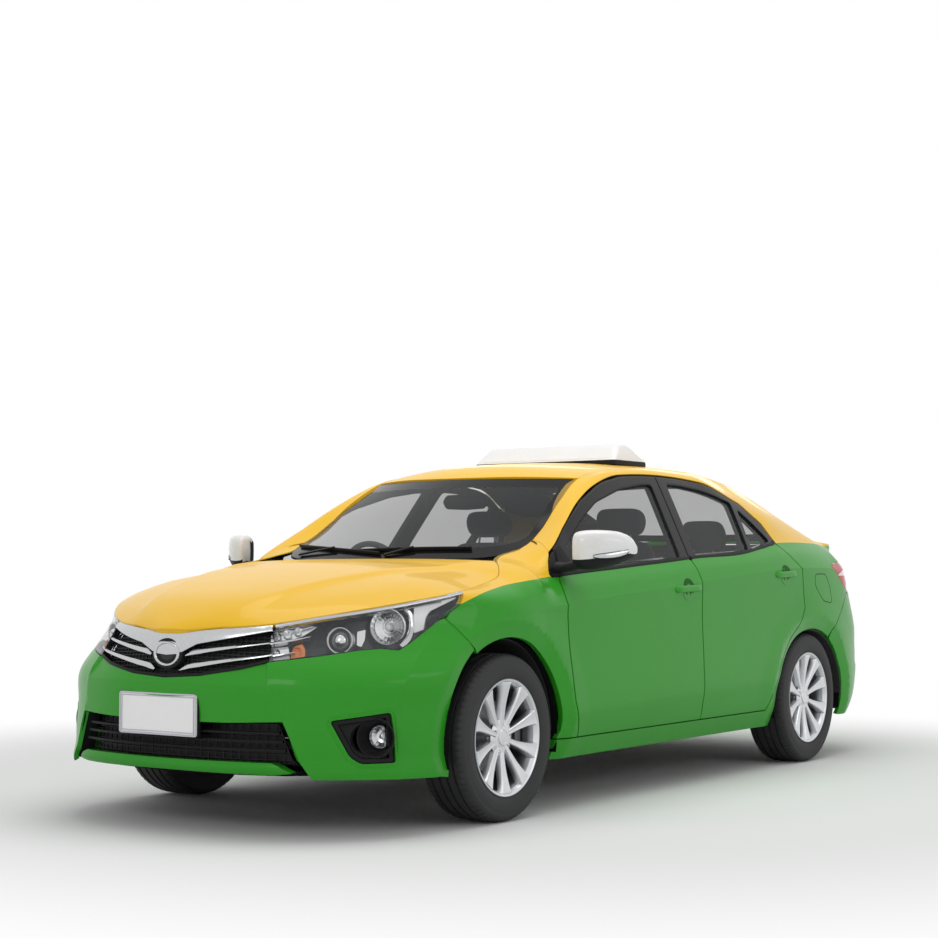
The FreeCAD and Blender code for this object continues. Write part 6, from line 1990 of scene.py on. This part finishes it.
# %% Finishes of the parts below and behind
UNDERBODY = moulding("underbody_paint", (0.020, 0.020, 0.021), 0.7, 60.0, 0.0004)
IRON = metal("cast_metal", (0.26, 0.26, 0.27), 0.55, 0.2, 90.0)
PIPE = metal("exhaust_pipe", (0.34, 0.31, 0.28), 0.45, 0.3, 30.0)
for finish, names in ((UNDERBODY, ("floor_pan", "front_subframe", "rear_axle")), (PIPE, ("exhaust",)),
                      (IRON, ("engine_block", "knuckle_left", "knuckle_right"))):
    for name in names:
        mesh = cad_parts[name].data
        mesh.materials.clear()
        mesh.materials.append(finish)
print("finished", len(FINISHES), "materials;", sum(count for _, count in MADE), "faces")

# %% [markdown]
# ## Studio and camera
# One big soft lamp overhead, weaker ones ahead, beside and behind, and an even world give paint its
# long soft highlights. The floor and the background are white to the camera, and still take the shadow.

# %% Floor, lamps, world and camera
def area_lamp(name, place, aim, size, power):
    lamp = bpy.data.lights.new(name, "AREA")
    lamp.shape, lamp.size, lamp.size_y, lamp.energy = "RECTANGLE", *size, power
    holder = bpy.data.objects.new(name, lamp)
    bpy.context.scene.collection.objects.link(holder)
    holder.location = place
    holder.rotation_euler = (Vector(aim) - Vector(place)).to_track_quat("-Z", "Y").to_euler()
    return holder


area_lamp("overhead_lamp", (0.5, 0.5, 5.2), (0, 0, 0), (4.6, 3), 100)
area_lamp("nose_lamp", (7.5, 1.5, 3.4), (1.5, 0, 0.6), (2.6, 1.4), 42)
area_lamp("side_lamp", (1.0, 7.5, 3.0), (0, 0, 0.7), (4.5, 1.2), 30)
area_lamp("back_lamp", (-7.5, -3.5, 3.2), (-1, 0, 0.7), (4, 1.6), 36)
world = bpy.data.worlds.new("studio")
bpy.context.scene.world = world
world.use_nodes = True
tree = world.node_tree
backdrop = tree.nodes["Background"]
path, level, first, second = (tree.nodes.new("ShaderNode" + kind) for kind in ("LightPath", "MapRange", "Math", "Math"))
for total in (first, second):
    total.operation, total.use_clamp = "ADD", True
level.inputs["To Min"].default_value, level.inputs["To Max"].default_value = 0.5, 1.0
for output, socket in (
    (path.outputs["Is Glossy Ray"], first.inputs[0]), (path.outputs["Is Transmission Ray"], first.inputs[1]),
    (path.outputs["Is Camera Ray"], second.inputs[0]), (first.outputs[0], second.inputs[1]),
    (second.outputs[0], level.inputs["Value"]), (level.outputs[0], backdrop.inputs["Strength"]),
):
    tree.links.new(output, socket)
backdrop.inputs["Color"].default_value = (1, 1, 1, 1)

FAR = 60
floor_mesh = bpy.data.meshes.new("studio_floor")
floor_mesh.from_pydata([(-FAR, -FAR, 0), (FAR, -FAR, 0), (FAR, FAR, 0), (-FAR, FAR, 0)], [], [(0, 1, 2, 3)])
floor = bpy.data.objects.new("studio_floor", floor_mesh)
bpy.context.scene.collection.objects.link(floor)
floor_finish = Finish("floor_finish", (0.95, 0.95, 0.95), 0.9, Specular_IOR_Level=0.1)
away = floor_finish.node("VectorMath", {"operation": "LENGTH"}, floor_finish.place(), out=1)
ray = [floor_finish.node("LightPath", {}, out=i) for i in (0, 3, 6)]
shown = (ray[0] + ray[1] + ray[2]).do("MINIMUM", 1.0) * away.ramp(2.3, 4.4)
glow = floor_finish.node("Emission", {}, (1, 1, 1, 1), 1.0)
output = floor_finish.tree.nodes["Material Output"]
blend = floor_finish.node("MixShader", {}, shown, Value(floor_finish, floor_finish.shader.outputs[0]), glow)
floor_finish.tree.links.new(blend.socket, output.inputs["Surface"])
floor_mesh.materials.append(floor_finish.material)
CAMERA_PLACE, CAMERA_YAW, CAMERA_PITCH, LENS = (7.266, 4.765, 0.953), 214.64, 3.04, 71.8
camera = bpy.data.objects.new("camera", bpy.data.cameras.new("camera"))
bpy.context.scene.collection.objects.link(camera)
bpy.context.scene.camera = camera
camera.data.lens, camera.data.sensor_width = LENS, 36
camera.location = CAMERA_PLACE
yaw, pitch = math.radians(CAMERA_YAW), math.radians(CAMERA_PITCH)
view = Vector((math.cos(pitch) * math.cos(yaw), math.cos(pitch) * math.sin(yaw), math.sin(pitch)))
camera.rotation_euler = view.to_track_quat("-Z", "Y").to_euler()
bpy.context.scene.view_settings.view_transform = "Standard"
print("camera at", CAMERA_PLACE)
